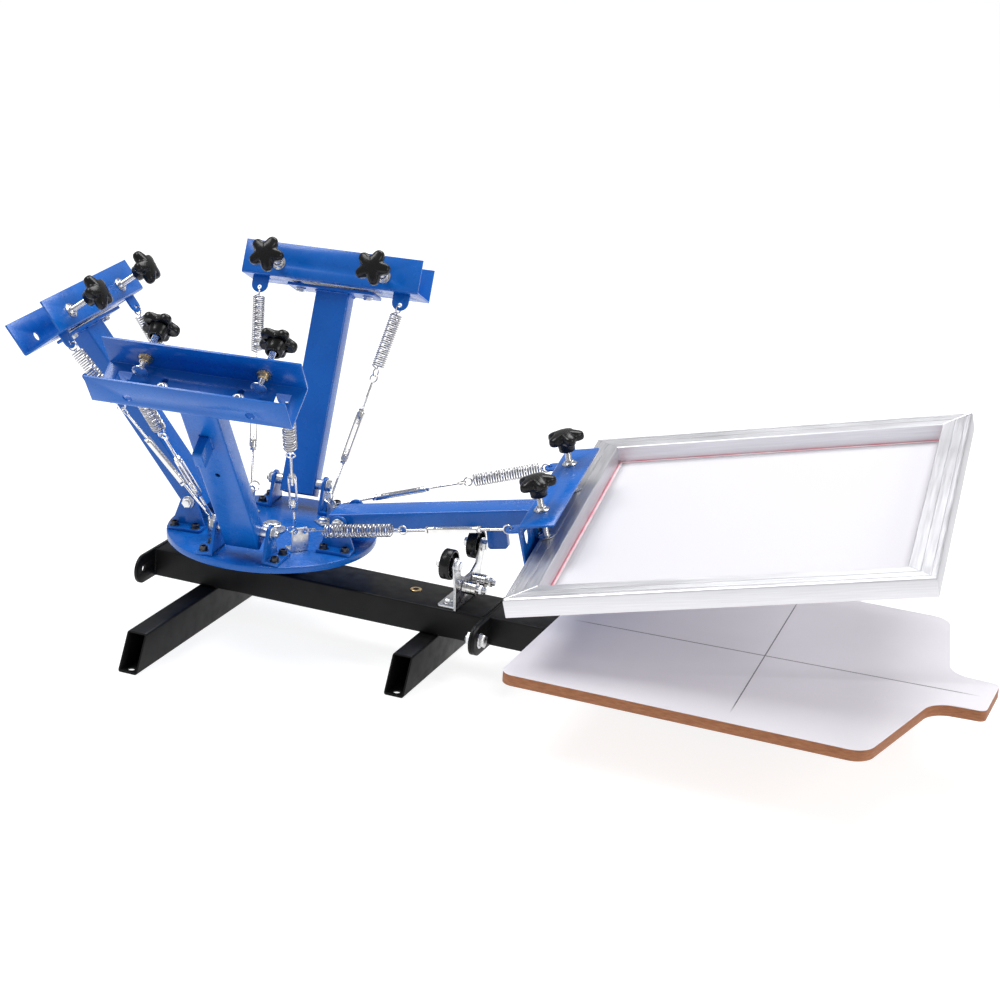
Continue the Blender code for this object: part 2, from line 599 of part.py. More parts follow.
for foot_name, (foot_x, foot_half) in FEET.items():
    foot(foot_name, foot_x, foot_half)
base_beam()
platen_arm()
platen_board()
gate()
spindle()
turntable()
for arm, (azimuth, tilt) in ARMS.items():
    around = Matrix.Translation((AXIS_X, 0, 0)) @ Matrix.Rotation(TURN + math.radians(azimuth), 4, "Z")
    spring_anchor(arm, empty(f"corner_{arm}", around @ Matrix.Rotation(math.pi / 4, 4, "Z")))
    seat = empty(f"seat_{arm}", around @ Matrix.Translation((PIVOT_R, 0, PIVOT_Z)))
    lift = Matrix.Rotation(-math.radians(tilt), 4, "Y")
    pivot_frame = empty(f"pivot_{arm}", seat.matrix_world @ lift, seat)
    level = Matrix.Translation((WEB_S, 0, HEAD_Z))
    if arm == 1:
        level = level @ Matrix.Rotation(-HEAD_PITCH, 4, "Y") @ Matrix.Rotation(HEAD_ROLL, 4, "X")
    head_frame = empty(f"head_{arm}", pivot_frame.matrix_world @ level, pivot_frame)
    arm_tube(arm, pivot_frame)
    head_channel(arm, head_frame)
    for hand, sign in (("near", -1), ("far", 1)):
        pivot_bracket(f"pivot_bracket_{arm}_{hand}", sign, seat)
        clamp_knob(arm, hand, sign, head_frame)
        spring_line(arm, hand, sign, head_frame)
    if arm == 1:
        screen(head_frame)
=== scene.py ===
"""Screen printing carousel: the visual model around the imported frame."""
import math

import bmesh
import bpy
from mathutils import Matrix, Vector


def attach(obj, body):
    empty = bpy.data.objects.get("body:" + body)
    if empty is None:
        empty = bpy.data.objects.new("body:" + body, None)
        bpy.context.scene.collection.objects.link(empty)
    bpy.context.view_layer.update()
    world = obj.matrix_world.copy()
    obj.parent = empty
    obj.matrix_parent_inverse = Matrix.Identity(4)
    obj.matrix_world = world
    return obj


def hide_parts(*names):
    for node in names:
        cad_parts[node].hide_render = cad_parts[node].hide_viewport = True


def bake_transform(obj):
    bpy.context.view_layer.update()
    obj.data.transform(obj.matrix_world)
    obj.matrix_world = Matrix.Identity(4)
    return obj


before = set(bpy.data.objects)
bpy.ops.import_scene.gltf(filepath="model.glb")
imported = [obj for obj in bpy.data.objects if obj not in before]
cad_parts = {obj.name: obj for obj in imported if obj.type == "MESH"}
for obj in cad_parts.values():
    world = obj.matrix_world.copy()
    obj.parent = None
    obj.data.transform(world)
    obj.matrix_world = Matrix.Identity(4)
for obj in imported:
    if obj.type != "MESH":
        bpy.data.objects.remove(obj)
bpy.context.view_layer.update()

# Camera
EYE, LENS, SENSOR_W, FARTHEST = (1.371, -2.572, 1.1896), 84.05, 36, 60
yaw, pitch, roll = math.radians(20.886), math.radians(-19.206), math.radians(3.729)
AIM = Vector((-math.sin(yaw) * math.cos(pitch), math.cos(yaw) * math.cos(pitch), math.sin(pitch)))
level = AIM.cross(Vector((0, 0, 1))).normalized()
upward = level.cross(AIM)
right = level * math.cos(roll) + upward * math.sin(roll)
upward = upward * math.cos(roll) - level * math.sin(roll)
camera = bpy.data.objects.new("camera", bpy.data.cameras.new("camera"))
camera.data.lens = LENS
camera.data.sensor_width = SENSOR_W
camera.data.clip_end = FARTHEST
axes = Matrix((right, upward, -AIM)).transposed().to_4x4()
camera.matrix_world = Matrix.Translation(EYE) @ axes
bpy.context.scene.collection.objects.link(camera)
bpy.context.scene.camera = camera

# Dimensions, as in the CAD model
AXIS_X, GAP = 0.074, 0.0003
FOOT_W, FOOT_H, FOOT_WALL, FOOT_SLANT = 0.027, 0.0475, 0.0022, 0.024
FEET = {"foot_rear": (0.0, 0.2405), "foot_front": (0.3175, 0.1375)}
BEAM_W, BEAM_H = 0.077, 0.0385
BEAM_Z = FOOT_H + GAP + BEAM_H / 2
BEAM_TOP = BEAM_Z + BEAM_H / 2
BEAM_X = (AXIS_X - 0.156, AXIS_X + 0.322)
EAR_Y, FLANGE_T, BEAM_WALL, BEAM_R = 0.067, 0.004, 0.0025, 0.0028
PLATEN_X = (AXIS_X + 0.414, AXIS_X + 0.951)
PLATEN_W, PLATEN_T, PLATEN_TOP = 0.45, 0.0145, 0.1037
PLATEN_BODY_X, PLATEN_NECK_X, TAB_HALF_W = AXIS_X + 0.858, AXIS_X + 0.884, 0.0465
ARM_TUBE_END = AXIS_X + 0.80
GATE_X, GATE_T = AXIS_X + 0.2785, 0.003
ROLLER_Y, ROLLER_Z, ROLLER_R, ROLLER_W = 0.0437, 0.150, 0.0195, 0.013
BEARING_Y, BEARING_Z, BEARING_R = 0.016, 0.1125, 0.0085
DISC_R, DISC_T, DISC_TOP = 0.137, 0.009, 0.130
PIVOT_R, PIVOT_Z, TURN = 0.1026, 0.1648, math.radians(6.37)
EAR_IN, EAR_T = 0.0335, 0.004
BRACKET_L, BRACKET_FOOT = 0.046, 0.022
ANCHOR_R, ANCHOR_W, ANCHOR_H = 0.085, 0.024, 0.032
ANCHOR_HOLE, ANCHOR_HOLE_R = (0.0068, 0.0265), 0.0034
ARMS = {1: (0, 10.25), 2: (90, 65.0), 3: (180, 52.2), 4: (270, 54.7)}
ARM_W, ARM_H, ARM_Z, ARM_BACK = 0.0475, 0.0273, -0.0035, 0.016
WEB_S, HEAD_Z = 0.267, 0.0013
HEAD_L, HEAD_D, HEAD_H, HEAD_T = 0.250, 0.046, 0.063, 0.0026
HEAD_PITCH, HEAD_ROLL = math.radians(2.2), math.radians(5.46)
LUG_T, LUG_W, LUG_Z, LUG_REACH, LUG_HOLE_IN = 0.100, 0.023, 0.0200, 0.023, 0.0075
SLOT_T, SLOT_L, SLOT_R = 0.048, 0.030, 0.0042
KNOB_T, KNOB_S = 0.0745, 0.0185
KNOB_LIFT = {1: 0.0, 2: 0.0180, 3: 0.0105, 4: 0.0115}
EYE_R, BIG_EYE_R, EYE_LEAN = 0.0055, 0.0065, math.radians(35)
LINE_SPLIT, REVERSED_SPLIT, REVERSED_LINE = 0.180, 0.157, (1, "near")
FRAME_L, FRAME_W, FRAME_H, BAR_W, FRAME_S = 0.502, 0.508, 0.0233, 0.0355, 0.0062
SIDES = (("near", -1), ("far", 1))
# Width across flats, height and washer radius of each bolt head or nut
FOOT_BOLT, GATE_BOLT, ANCHOR_BOLT = (0.010, 0.005, 0.0080), (0.010, 0.0045, 0.0078), (0.010, 0.0040, 0.0072)
FLANGE_BOLT, FLANGE_NUT = (0.0145, 0.0062, 0.0100), (0.0145, 0.0070, 0.0100)
ROLLER_BOLT, PIVOT_BOLT = (0.0125, 0.0048, 0.0085), (0.0130, 0.0052, 0.0082)
STUD_NUT = (0.0112, 0.0042)
# The printed cross on the platen: the two ends of each line, and half its width
CROSS = (((0.5068, -0.0273), (1.012, -0.0029), 0.0010), ((0.7616, -0.1997), (0.7385, 0.185), 0.0008))
I = Matrix()
UP_X = Matrix.Rotation(math.pi / 2, 4, "Y")
UP_Y = Matrix.Rotation(-math.pi / 2, 4, "X")
DOWN_X, DOWN_Y = UP_X.inverted(), UP_Y.inverted()
XZ = Matrix.Rotation(math.pi / 2, 4, "X")  # an outline in XY stands up in XZ
YZ = Matrix.Rotation(math.pi / 2, 4, "Z") @ XZ  # and here in YZ


def at(x, y, z):
    return Matrix.Translation((x, y, z))


# Materials


class Paint:
    """A Principled material that is built up node by node."""

    def __init__(self, name, colour, roughness, metallic=0.0):
        self.made = bpy.data.materials.new(name)
        self.made.use_nodes = True
        self.tree = self.made.node_tree
        self.shader = self.tree.nodes["Principled BSDF"]
        self.shader.inputs["Base Color"].default_value = (*colour, 1)
        self.shader.inputs["Roughness"].default_value = roughness
        self.shader.inputs["Metallic"].default_value = metallic
        self.where = self.tree.nodes.new("ShaderNodeTexCoord").outputs["Object"]

    def link(self, output, socket):
        self.tree.links.new(output, socket)

    def node(self, kind, **values):
        made = self.tree.nodes.new(kind)
        for key, value in values.items():
            if key in made.inputs:
                made.inputs[key].default_value = value
            else:
                setattr(made, key, value)
        return made

    def noise(self, scale, detail=3.0, stretch=(1, 1, 1), distort=0.0):
        place = self.node("ShaderNodeMapping")
        place.inputs["Scale"].default_value = stretch
        self.link(self.where, place.inputs["Vector"])
        made = self.node("ShaderNodeTexNoise", Scale=scale, Detail=detail, Distortion=distort)
        self.link(place.outputs["Vector"], made.inputs["Vector"])
        return made.outputs["Fac"]

    def ramp(self, factor, low, high, from_low=0.3, from_high=0.7):
        made = self.node("ShaderNodeMapRange")
        limits = (("From Min", from_low), ("From Max", from_high), ("To Min", low), ("To Max", high))
        for key, value in limits:
            made.inputs[key].default_value = value
        self.link(factor, made.inputs["Value"])
        return made.outputs["Result"]

    def mix(self, factor, low, high):
        made = self.node("ShaderNodeMix", data_type="RGBA")
        made.inputs[0].default_value = 0.5
        self.link(factor, made.inputs[0])
        for slot, value in ((6, low), (7, high)):
            if isinstance(value, tuple):
                made.inputs[slot].default_value = (*value, 1)
            else:
                self.link(value, made.inputs[slot])
        return made.outputs[2]

    def math(self, operation, a, b=None, c=None):
        made = self.node("ShaderNodeMath", operation=operation)
        for slot, value in ((0, a), (1, b), (2, c)):
            if value is None:
                continue
            if isinstance(value, (int, float)):
                made.inputs[slot].default_value = value
            else:
                self.link(value, made.inputs[slot])
        return made.outputs[0]

    def colour(self, value):
        self.link(value, self.shader.inputs["Base Color"])

    def mottle(self, cloud, low, high):
        self.colour(self.mix(self.ramp(cloud, 0, 1), low, high))

    def times(self, a, b):
        return self.math("MULTIPLY", a, b)

    def plus(self, a, b):
        return self.math("ADD", a, b)

    def rough(self, value):
        self.link(value, self.shader.inputs["Roughness"])

    def bump(self, height, strength, distance):
        made = self.node("ShaderNodeBump", Strength=strength, Distance=distance)
        self.link(height, made.inputs["Height"])
        if self.shader.inputs["Normal"].links:
            before = self.shader.inputs["Normal"].links[0].from_socket
            self.link(before, made.inputs["Normal"])
        self.link(made.outputs["Normal"], self.shader.inputs["Normal"])

    def split(self):
        made = self.node("ShaderNodeSeparateXYZ")
        self.link(self.where, made.inputs[0])
        return made.outputs

    def set(self, **values):
        for key, value in values.items():
            self.shader.inputs[key.replace("_", " ")].default_value = value


def powder_coat(name, colour, deep, roughness, coat, gloss):
    """Powder coat: a fine orange-peel ripple, faint mottling and patches of uneven gloss."""
    paint = Paint(name, colour, roughness)
    paint.mottle(paint.noise(18, 4), colour, deep)
    paint.rough(paint.ramp(paint.noise(60, 5), roughness * 0.8, roughness * 1.25))
    paint.bump(paint.noise(900, 2), 0.06, 0.0004)
    paint.bump(paint.noise(240, 2), 0.035, 0.0006)
    paint.set(Coat_Weight=coat, Coat_Roughness=0.12, Specular_IOR_Level=gloss)
    return paint.made


def plated(name, colour, other, roughness):
    """Bright plating with a fine grain and cloudy patches."""
    paint = Paint(name, colour, roughness, 1.0)
    paint.mottle(paint.noise(45, 4, distort=0.6), colour, other)
    grain = paint.noise(120, 4)
    paint.rough(paint.ramp(grain, roughness * 0.7, roughness * 1.4))
    paint.bump(grain, 0.08, 0.0003)
    return paint.made


def black_plastic(name):
    paint = Paint(name, (0.006, 0.006, 0.0065), 0.24)
    paint.mottle(paint.noise(60, 3), (0.0045, 0.0045, 0.005), (0.009, 0.009, 0.0095))
    paint.rough(paint.ramp(paint.noise(400, 3), 0.18, 0.32))
    paint.bump(paint.noise(1500, 2), 0.10, 0.0003)
    paint.set(Specular_IOR_Level=0.3)
    return paint.made


def brushed_aluminium(name, along, dark, pale):
    """Extruded bar: fine streaks along its length, and cloudy gloss."""
    stretch = (0.03, 1, 1) if along == "X" else (1, 0.03, 1)
    paint = Paint(name, pale, 0.30, 1.0)
    streaks = paint.noise(520, 5, stretch)
    cloud = paint.noise(14, 4)
    paint.mottle(streaks, dark, pale)
    paint.rough(paint.ramp(paint.plus(paint.times(streaks, 0.6), paint.times(cloud, 0.4)), 0.32, 0.50))
    paint.bump(streaks, 0.06, 0.0002)
    return paint.made


def laminate(name):
    """White laminate with a faint grain and a printed centring cross."""
    paint = Paint(name, (0.86, 0.85, 0.87), 0.33)
    x, y, _ = paint.split()
    lines = None
    for (ax, ay), (bx, by), half_width in CROSS:
        length = math.hypot(bx - ax, by - ay)
        ux, uy = (bx - ax) / length, (by - ay) / length
        across = paint.plus(paint.times(x, -uy), paint.times(y, ux))
        along = paint.plus(paint.times(x, ux), paint.times(y, uy))
        near = paint.math("COMPARE", across, ay * ux - ax * uy, half_width)
        middle = (ax + bx) / 2 * ux + (ay + by) / 2 * uy
        off = paint.math("ABSOLUTE", paint.math("SUBTRACT", along, middle))
        fade = paint.ramp(off, 1, 0, length / 2 - 0.03, length / 2)
        mark = paint.times(near, fade)
        lines = mark if lines is None else paint.math("MAXIMUM", lines, mark)
    tint = paint.mix(paint.ramp(paint.noise(9, 4), 0, 1), (0.93, 0.91, 0.96), (0.89, 0.87, 0.92))
    paint.colour(paint.mix(paint.times(lines, 0.85), tint, (0.06, 0.06, 0.075)))
    paint.rough(paint.ramp(paint.noise(60, 2), 0.38, 0.42))
    paint.bump(paint.noise(700, 1), 0.03, 0.0002)
    return paint.made


def board_edge(name):
    """The board's cut edge: pressed fibre between thin facing layers."""
    paint = Paint(name, (0.42, 0.20, 0.08), 0.6)
    fibre = paint.noise(420, 5, (0.25, 0.25, 1.6))
    paint.mottle(fibre, (0.28, 0.098, 0.036), (0.40, 0.160, 0.065))
    paint.bump(fibre, 0.35, 0.0006)
    return paint.made


def woven(name):
    """Fine white screen mesh: two sets of threads, seen as a satin white cloth."""
    paint = Paint(name, (0.93, 0.93, 0.945), 0.42)
    x, y, _ = paint.split()
    pitch = 4400.0
    across = paint.math("SINE", paint.times(x, pitch))
    along = paint.math("SINE", paint.times(y, pitch))
    threads = paint.times(paint.plus(across, along), 0.5)
    paint.colour(paint.mix(paint.ramp(threads, 0, 1, -1, 1), (0.64, 0.63, 0.67), (0.72, 0.71, 0.75)))
    paint.bump(threads, 0.10, 0.0002)
    paint.bump(paint.noise(7, 2), 0.05, 0.01)
    paint.set(Sheen_Weight=0.25, Sheen_Roughness=0.4)
    return paint.made


def glue_and_reflection_material(name, strong, pale):
    """Tinted glue: the glue that holds the mesh to the frame, and also a painted reflection of the glue line.
    """
    paint = Paint(name, strong, 0.35)
    paint.mottle(paint.noise(35, 4), strong, pale)
    paint.bump(paint.noise(220, 3), 0.3, 0.0005)
    return paint.made


BLUE = powder_coat("blue_powder_coat", (0.0030, 0.122, 0.50), (0.0025, 0.102, 0.44), 0.27, 0.10, 0.36)
BLACK = powder_coat("black_powder_coat", (0.0055, 0.0055, 0.006), (0.0085, 0.0085, 0.009), 0.40, 0.0, 0.2)
ZINC = plated("zinc_plate", (0.66, 0.68, 0.71), (0.80, 0.80, 0.78), 0.30)
NICKEL = plated("nickel_plate", (0.72, 0.71, 0.70), (0.86, 0.85, 0.84), 0.18)
STEEL_WIRE = plated("spring_steel", (0.42, 0.42, 0.44), (0.62, 0.62, 0.64), 0.24)
BRASS = plated("yellow_zinc", (0.80, 0.56, 0.25), (0.88, 0.68, 0.40), 0.28)
DARK_STEEL = plated("black_oxide", (0.05, 0.05, 0.055), (0.09, 0.09, 0.10), 0.35)
KNOB = black_plastic("black_knob_plastic")
RUBBER = black_plastic("roller_plastic")
ALU_X = brushed_aluminium("aluminium_along_x", "X", (0.70, 0.70, 0.73), (0.80, 0.80, 0.83))
# the bars along y are the same aluminium painted darker, as painted shade
ALU_Y_SHADED = brushed_aluminium("aluminium_along_y_painted_shade", "Y", (0.58, 0.58, 0.61), (0.68, 0.68, 0.71))
WHITE = laminate("white_laminate")
EDGE = board_edge("board_edge")
CLOTH = woven("screen_mesh_cloth")
GLUE = glue_and_reflection_material("mesh_glue", (0.78, 0.10, 0.17), (0.86, 0.38, 0.44))
# the pale glue is real glue on the rim under the frame, and also a painted reflection of the glue line on the
# mesh
PALE_GLUE_AND_REFLECTION = glue_and_reflection_material("pale_mesh_glue_and_painted_reflection", (0.88, 0.58, 0.63), (0.92, 0.84, 0.87))


# Shapes. Each returns a bmesh in its own frame; join() makes one mesh of several.


def outline(points, thickness, holes=(), bevel=0.0):
    """A flat plate from an outline and holes in XY, with softened edges, centred on z."""
    curve = bpy.data.curves.new("outline", "CURVE")
    curve.dimensions = "2D"
    curve.fill_mode = "BOTH"
    curve.extrude = thickness / 2 - bevel
    curve.bevel_depth = bevel
    curve.bevel_resolution = 1
    curve.offset = -bevel
    for ring_points in (points, *holes):
        spline = curve.splines.new("POLY")
        spline.points.add(len(ring_points) - 1)
        for point, (x, y) in zip(spline.points, ring_points):
            point.co = (x, y, 0, 1)
        spline.use_cyclic_u = True
    return from_curve(curve)


def in_scene(name, data):
    thing = bpy.data.objects.new(name, data)
    bpy.context.scene.collection.objects.link(thing)
    return thing


def evaluated(thing):
    """A mesh of the object as its modifiers or its curve make it."""
    bpy.context.view_layer.update()
    return bpy.data.meshes.new_from_object(thing.evaluated_get(bpy.context.evaluated_depsgraph_get()))


def shift(shape, x, y, z):
    bmesh.ops.translate(shape, verts=shape.verts, vec=(x, y, z))


def transform(shape, matrix):
    bmesh.ops.transform(shape, matrix=matrix, verts=shape.verts)


def from_curve(curve):
    thing = in_scene("curve", curve)
    mesh = evaluated(thing)
    shape = bmesh.new()
    shape.from_mesh(mesh)
    bmesh.ops.remove_doubles(shape, verts=shape.verts, dist=0.000004)
    bmesh.ops.recalc_face_normals(shape, faces=shape.faces)
    bpy.data.objects.remove(thing)
    bpy.data.meshes.remove(mesh)
    bpy.data.curves.remove(curve)
    return shape


def wire(points, radius, closed=False, sides=2):
    """A wire along points, with filled ends."""
    curve = bpy.data.curves.new("wire", "CURVE")
    curve.dimensions = "3D"
    curve.bevel_depth = radius
    curve.bevel_resolution = sides
    curve.use_fill_caps = True
    spline = curve.splines.new("POLY")
    spline.points.add(len(points) - 1)
    for point, place in zip(spline.points, points):
        point.co = (*place, 1)
    spline.use_cyclic_u = closed
    return from_curve(curve)


def arc(centre, radius, start, end, steps=8):
    angles = [math.radians(start + (end - start) * i / steps) for i in range(steps + 1)]
    return [(centre[0] + radius * math.cos(a), centre[1] + radius * math.sin(a)) for a in angles]


def circle(centre, radius, steps=24):
    return arc(centre, radius, 0, 360 * (steps - 1) / steps, steps - 1)


def rounded(x0, x1, y0, y1, r, steps=4):
    """A rounded rectangle's outline."""
    return (arc((x1 - r, y1 - r), r, 0, 90, steps) + arc((x0 + r, y1 - r), r, 90, 180, steps)
            + arc((x0 + r, y0 + r), r, 180, 270, steps) + arc((x1 - r, y0 + r), r, 270, 360, steps))


def turned(profile, steps=32):
    """A turned shape about z, from (radius, z) points that run upwards on the outside."""
    shape = bmesh.new()
    rings = []
    turns = [(math.cos(math.tau * i / steps), math.sin(math.tau * i / steps)) for i in range(steps)]
    for radius, z in profile:
        if radius < 1e-7:
            rings.append([shape.verts.new((0, 0, z))])
            continue
        rings.append([shape.verts.new((radius * x, radius * y, z)) for x, y in turns])
    for low, high in zip(rings, rings[1:]):
        for i in range(steps):
            j = (i + 1) % steps
            corners = [low[i % len(low)], low[j % len(low)], high[j % len(high)], high[i % len(high)]]
            unique = list(dict.fromkeys(corners))
            if len(unique) > 2:
                shape.faces.new(unique)
    bmesh.ops.recalc_face_normals(shape, faces=shape.faces)
    return shape


def rod(radius, low, high, steps=20):
    return turned([(0, low), (radius, low), (radius, high), (0, high)], steps)


def ring(inner, outer, low, high, steps):
    return turned([(inner, low), (outer, low), (outer, high), (inner, high), (inner, low)], steps)


def hexagon(across, height, chamfer=0.0009):
    """A hex head or nut on z=0, chamfered at its top."""
    radius = across / math.sqrt(3)
    shape = bmesh.new()
    rows = []
    turns = [(math.cos(math.tau * i / 6), math.sin(math.tau * i / 6)) for i in range(6)]
    for r, z in ((radius, 0), (radius, height - chamfer), (radius - 1.4 * chamfer, height)):
        rows.append([shape.verts.new((r * x, r * y, z)) for x, y in turns])
    shape.faces.new(rows[0][::-1])
    shape.faces.new(rows[-1])
    for low, high in zip(rows, rows[1:]):
        for i in range(6):
            j = (i + 1) % 6
            shape.faces.new((low[i], low[j], high[j], high[i]))
    bmesh.ops.recalc_face_normals(shape, faces=shape.faces)
    return shape


def washer(radius, hole, height, soft=0.0003):
    edge = radius - soft
    profile = [(hole, 0), (edge, 0), (radius, soft), (radius, height - soft), (edge, height), (hole, height)]
    return turned(profile + [(hole, 0)], 28)


def threaded(radius, length, pitch, steps=14):
    """A threaded rod from z=0, as closely set ridges, with a chamfered end."""
    profile = [(0, 0), (radius * 0.8, 0)]
    for i in range(max(1, int(length / pitch))):
        z = i * pitch
        profile += [(radius * 0.86, z + pitch * 0.1), (radius, z + pitch * 0.45), (radius, z + pitch * 0.6)]
    return turned(profile + [(radius * 0.86, length), (0, length)], steps)


def socket_screw(radius, height):
    """A cap screw's head on z=0, with a round socket in its top."""
    key, deep, soft = radius * 0.52, 0.0028, 0.0006
    profile = [(0, 0), (radius, 0), (radius, height - soft), (radius - soft, height), (key, height)]
    return turned(profile + [(key, height - deep), (0, height - deep)], 24)


def cut(shape, *tools):
    """The shape less its tools, by exact Boolean."""
    body = object_of(shape, "body")
    for tool in tools:
        other = object_of(tool, "tool")
        modifier = body.modifiers.new("cut", "BOOLEAN")
        modifier.operation = "DIFFERENCE"
        modifier.solver = "EXACT"
        modifier.object = other
        mesh = evaluated(body)
        body.modifiers.clear()
        body.data = mesh
        bpy.data.objects.remove(other)
    result = bmesh.new()
    result.from_mesh(body.data)
    bpy.data.objects.remove(body)
    return result


def object_of(shape, name):
    mesh = bpy.data.meshes.new(name)
    shape.to_mesh(mesh)
    shape.free()
    return in_scene(name, mesh)


def join(parts, bevel=0.0, sharp=35):
    """One mesh from (shape, matrix, material) rows. bevel softens every sharp edge."""
    whole = bmesh.new()
    paints = []
    for shape, matrix, paint in parts:
        if paint not in paints:
            paints.append(paint)
        transform(shape, matrix)
        mesh = bpy.data.meshes.new("part")
        shape.to_mesh(mesh)
        shape.free()
        before = len(whole.faces)
        whole.from_mesh(mesh)
        whole.faces.ensure_lookup_table()
        for face in whole.faces[before:]:
            face.material_index = paints.index(paint)
        bpy.data.meshes.remove(mesh)
    mesh = bpy.data.meshes.new("joined")
    whole.to_mesh(mesh)
    whole.free()
    for paint in paints:
        mesh.materials.append(paint)
    if bevel:
        thing = in_scene("soften", mesh)
        edge = thing.modifiers.new("edge", "BEVEL")
        edge.width = bevel
        edge.segments = 2
        edge.limit_method = "ANGLE"
        edge.angle_limit = math.radians(40)
        edge.harden_normals = False
        mesh = evaluated(thing)
        bpy.data.objects.remove(thing)
    mesh.shade_smooth()
    mesh.set_sharp_from_angle(angle=math.radians(sharp))
    return mesh


def place(name, mesh, body, matrix=None, replaces=(), slot=None):
    """A piece of the visual model, riding on a body and standing for CAD nodes."""
    thing = in_scene(name, mesh)
    thing.matrix_world = matrix or I
    bpy.context.view_layer.update()
    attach(thing, body)
    if replaces:
        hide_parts(*replaces)
    return thing


# Base


def bolt_set(across, height, washer_r):
    """A zinc hex head on its washer, standing up from z=0."""
    washer_h = 0.0014
    return [(washer(washer_r, 0.002, washer_h), I, ZINC), (hexagon(across, height), at(0, 0, washer_h), ZINC)]


def moved(parts, matrix):
    return [(shape, matrix @ place_in, paint) for shape, place_in, paint in parts]


def rect_tube(width, height, radius, wall, length):
    """An open rectangular tube along z from z=0, with rounded corners inside and out."""
    outer = rounded(-width / 2, width / 2, -height / 2, height / 2, radius, 4)
    half_w, half_h = width / 2 - wall, height / 2 - wall
    hole = rounded(-half_w, half_w, -half_h, half_h, max(radius - wall, 0.0006), 4)
    shape = outline(outer, length, [hole], 0.0)
    shift(shape, 0, 0, length / 2)
    return shape


def flange(x):
    """A round-eared end plate with its bolt holes, centred on x."""
    points = arc((EAR_Y, 0), BEAM_H / 2, -90, 90, 16) + arc((-EAR_Y, 0), BEAM_H / 2, 90, 270, 16)
    holes = [circle((side * EAR_Y, 0), 0.0047, 20) for side in (-1, 1)] + [circle((0, 0), 0.011, 28)]
    return outline(points, FLANGE_T, holes, 0.0004), at(x, 0, BEAM_Z) @ YZ, BLACK


def fillet(length):
    """A weld bead along z: an uneven, rounded seam."""
    uneven, radius, steps = 0.0003, 0.0017, 40
    points = [(uneven * math.sin(i * 2.1), uneven * math.cos(i * 1.7), length * (i / steps - 0.5))
              for i in range(steps + 1)]
    return wire(points, radius)


def base_beam():
    left, right_end = BEAM_X
    length = right_end - left - 2 * FLANGE_T
    tube = rect_tube(BEAM_H, BEAM_W, BEAM_R, BEAM_WALL, length)
    parts = [(tube, at(left + FLANGE_T, 0, BEAM_Z) @ UP_X, BLACK)]
    parts += [flange(left + FLANGE_T / 2), flange(right_end - FLANGE_T / 2)]
    for x in (left + 0.0048, right_end - 0.0048):
        for side in (-1, 1):
            parts.append((fillet(BEAM_H - 0.004), at(x, side * BEAM_W / 2, BEAM_Z), BLACK))
        parts.append((fillet(BEAM_W - 0.004), at(x, 0, BEAM_TOP) @ UP_Y, BLACK))
    hole = at(AXIS_X + 0.2066, 0.0044, BEAM_TOP)
    parts.append((washer(0.0075, 0.0040, 0.0012), hole, BRASS))
    place("base_beam_body", join(parts), "base", None, ("base_beam",), "black_paint")


def foot(name, x, half):
    outer = rect_tube(FOOT_W, FOOT_H, 0.0030, FOOT_WALL, 2 * half)
    along_y = DOWN_Y @ Matrix.Rotation(math.pi, 4, "Y")
    transform(outer, at(x, -half, FOOT_H / 2) @ along_y)
    lows = [v.co.y for v in outer.verts]
    shift(outer, 0, -(min(lows) + max(lows)) / 2, 0)
    for vert in outer.verts:
        share = vert.co.z / FOOT_H
        vert.co.y *= (half - FOOT_SLANT * share) / half
    drills = [rod(0.0045, -0.01, 0.01) for _ in range(2)]
    for drill, side in zip(drills, (-1, 1)):
        shift(drill, x, side * (half - 0.011), 0)
    body = cut(outer, *drills)
    parts = [(body, I, BLACK)]
    # the beam's two bolts come up through the foot
    for side in (-1, 1):
        parts += moved(bolt_set(*FOOT_BOLT), at(x, side * 0.020, FOOT_WALL))
    place(name + "_body", join(parts, 0.0003), "base", None, (name,), "black_paint")


def platen_arm():
    start = BEAM_X[1] + GAP
    width = BEAM_W - 0.012
    tube = rect_tube(BEAM_H, width, BEAM_R, BEAM_WALL, ARM_TUBE_END - start - FLANGE_T)
    low, high = BEAM_TOP - 0.0002, PLATEN_TOP - PLATEN_T - GAP
    middle = (PLATEN_X[0] + PLATEN_BODY_X) / 2
    screws = [(u, v) for u in (-0.085, 0.085) for v in (-0.065, 0.065)]
    holes = [circle(spot, 0.0032, 14) for spot in screws]
    plate = outline(rounded(-0.10, 0.10, -0.08, 0.08, 0.008), high - low, holes, 0.0003)
    parts = [(tube, at(start + FLANGE_T, 0, BEAM_Z) @ UP_X, BLACK), flange(start + FLANGE_T / 2),
             (plate, at(middle, 0, (low + high) / 2), BLACK)]
    for u, v in screws:
        head = turned([(0, 0), (0.0062, 0), (0.0058, -0.0016), (0.0035, -0.0030), (0, -0.0034)], 24)
        parts.append((head, at(middle + u, v, low), ZINC))
    # hex bolts and nuts through the two flanges' ears
    for side in (-1, 1):
        ear = at(0, side * EAR_Y, BEAM_Z)
        parts += moved(bolt_set(*FLANGE_BOLT), at(start + FLANGE_T, 0, 0) @ ear @ UP_X)
        parts += moved(bolt_set(*FLANGE_NUT), at(BEAM_X[1] - FLANGE_T, 0, 0) @ ear @ DOWN_X)
        tip = threaded(0.0042, 0.024, 0.0013, 18)
        parts.append((tip, at(BEAM_X[1] - 0.0145, 0, 0) @ ear @ UP_X, ZINC))
    place("platen_arm_body", join(parts), "base", None, ("platen_arm",), "black_paint")


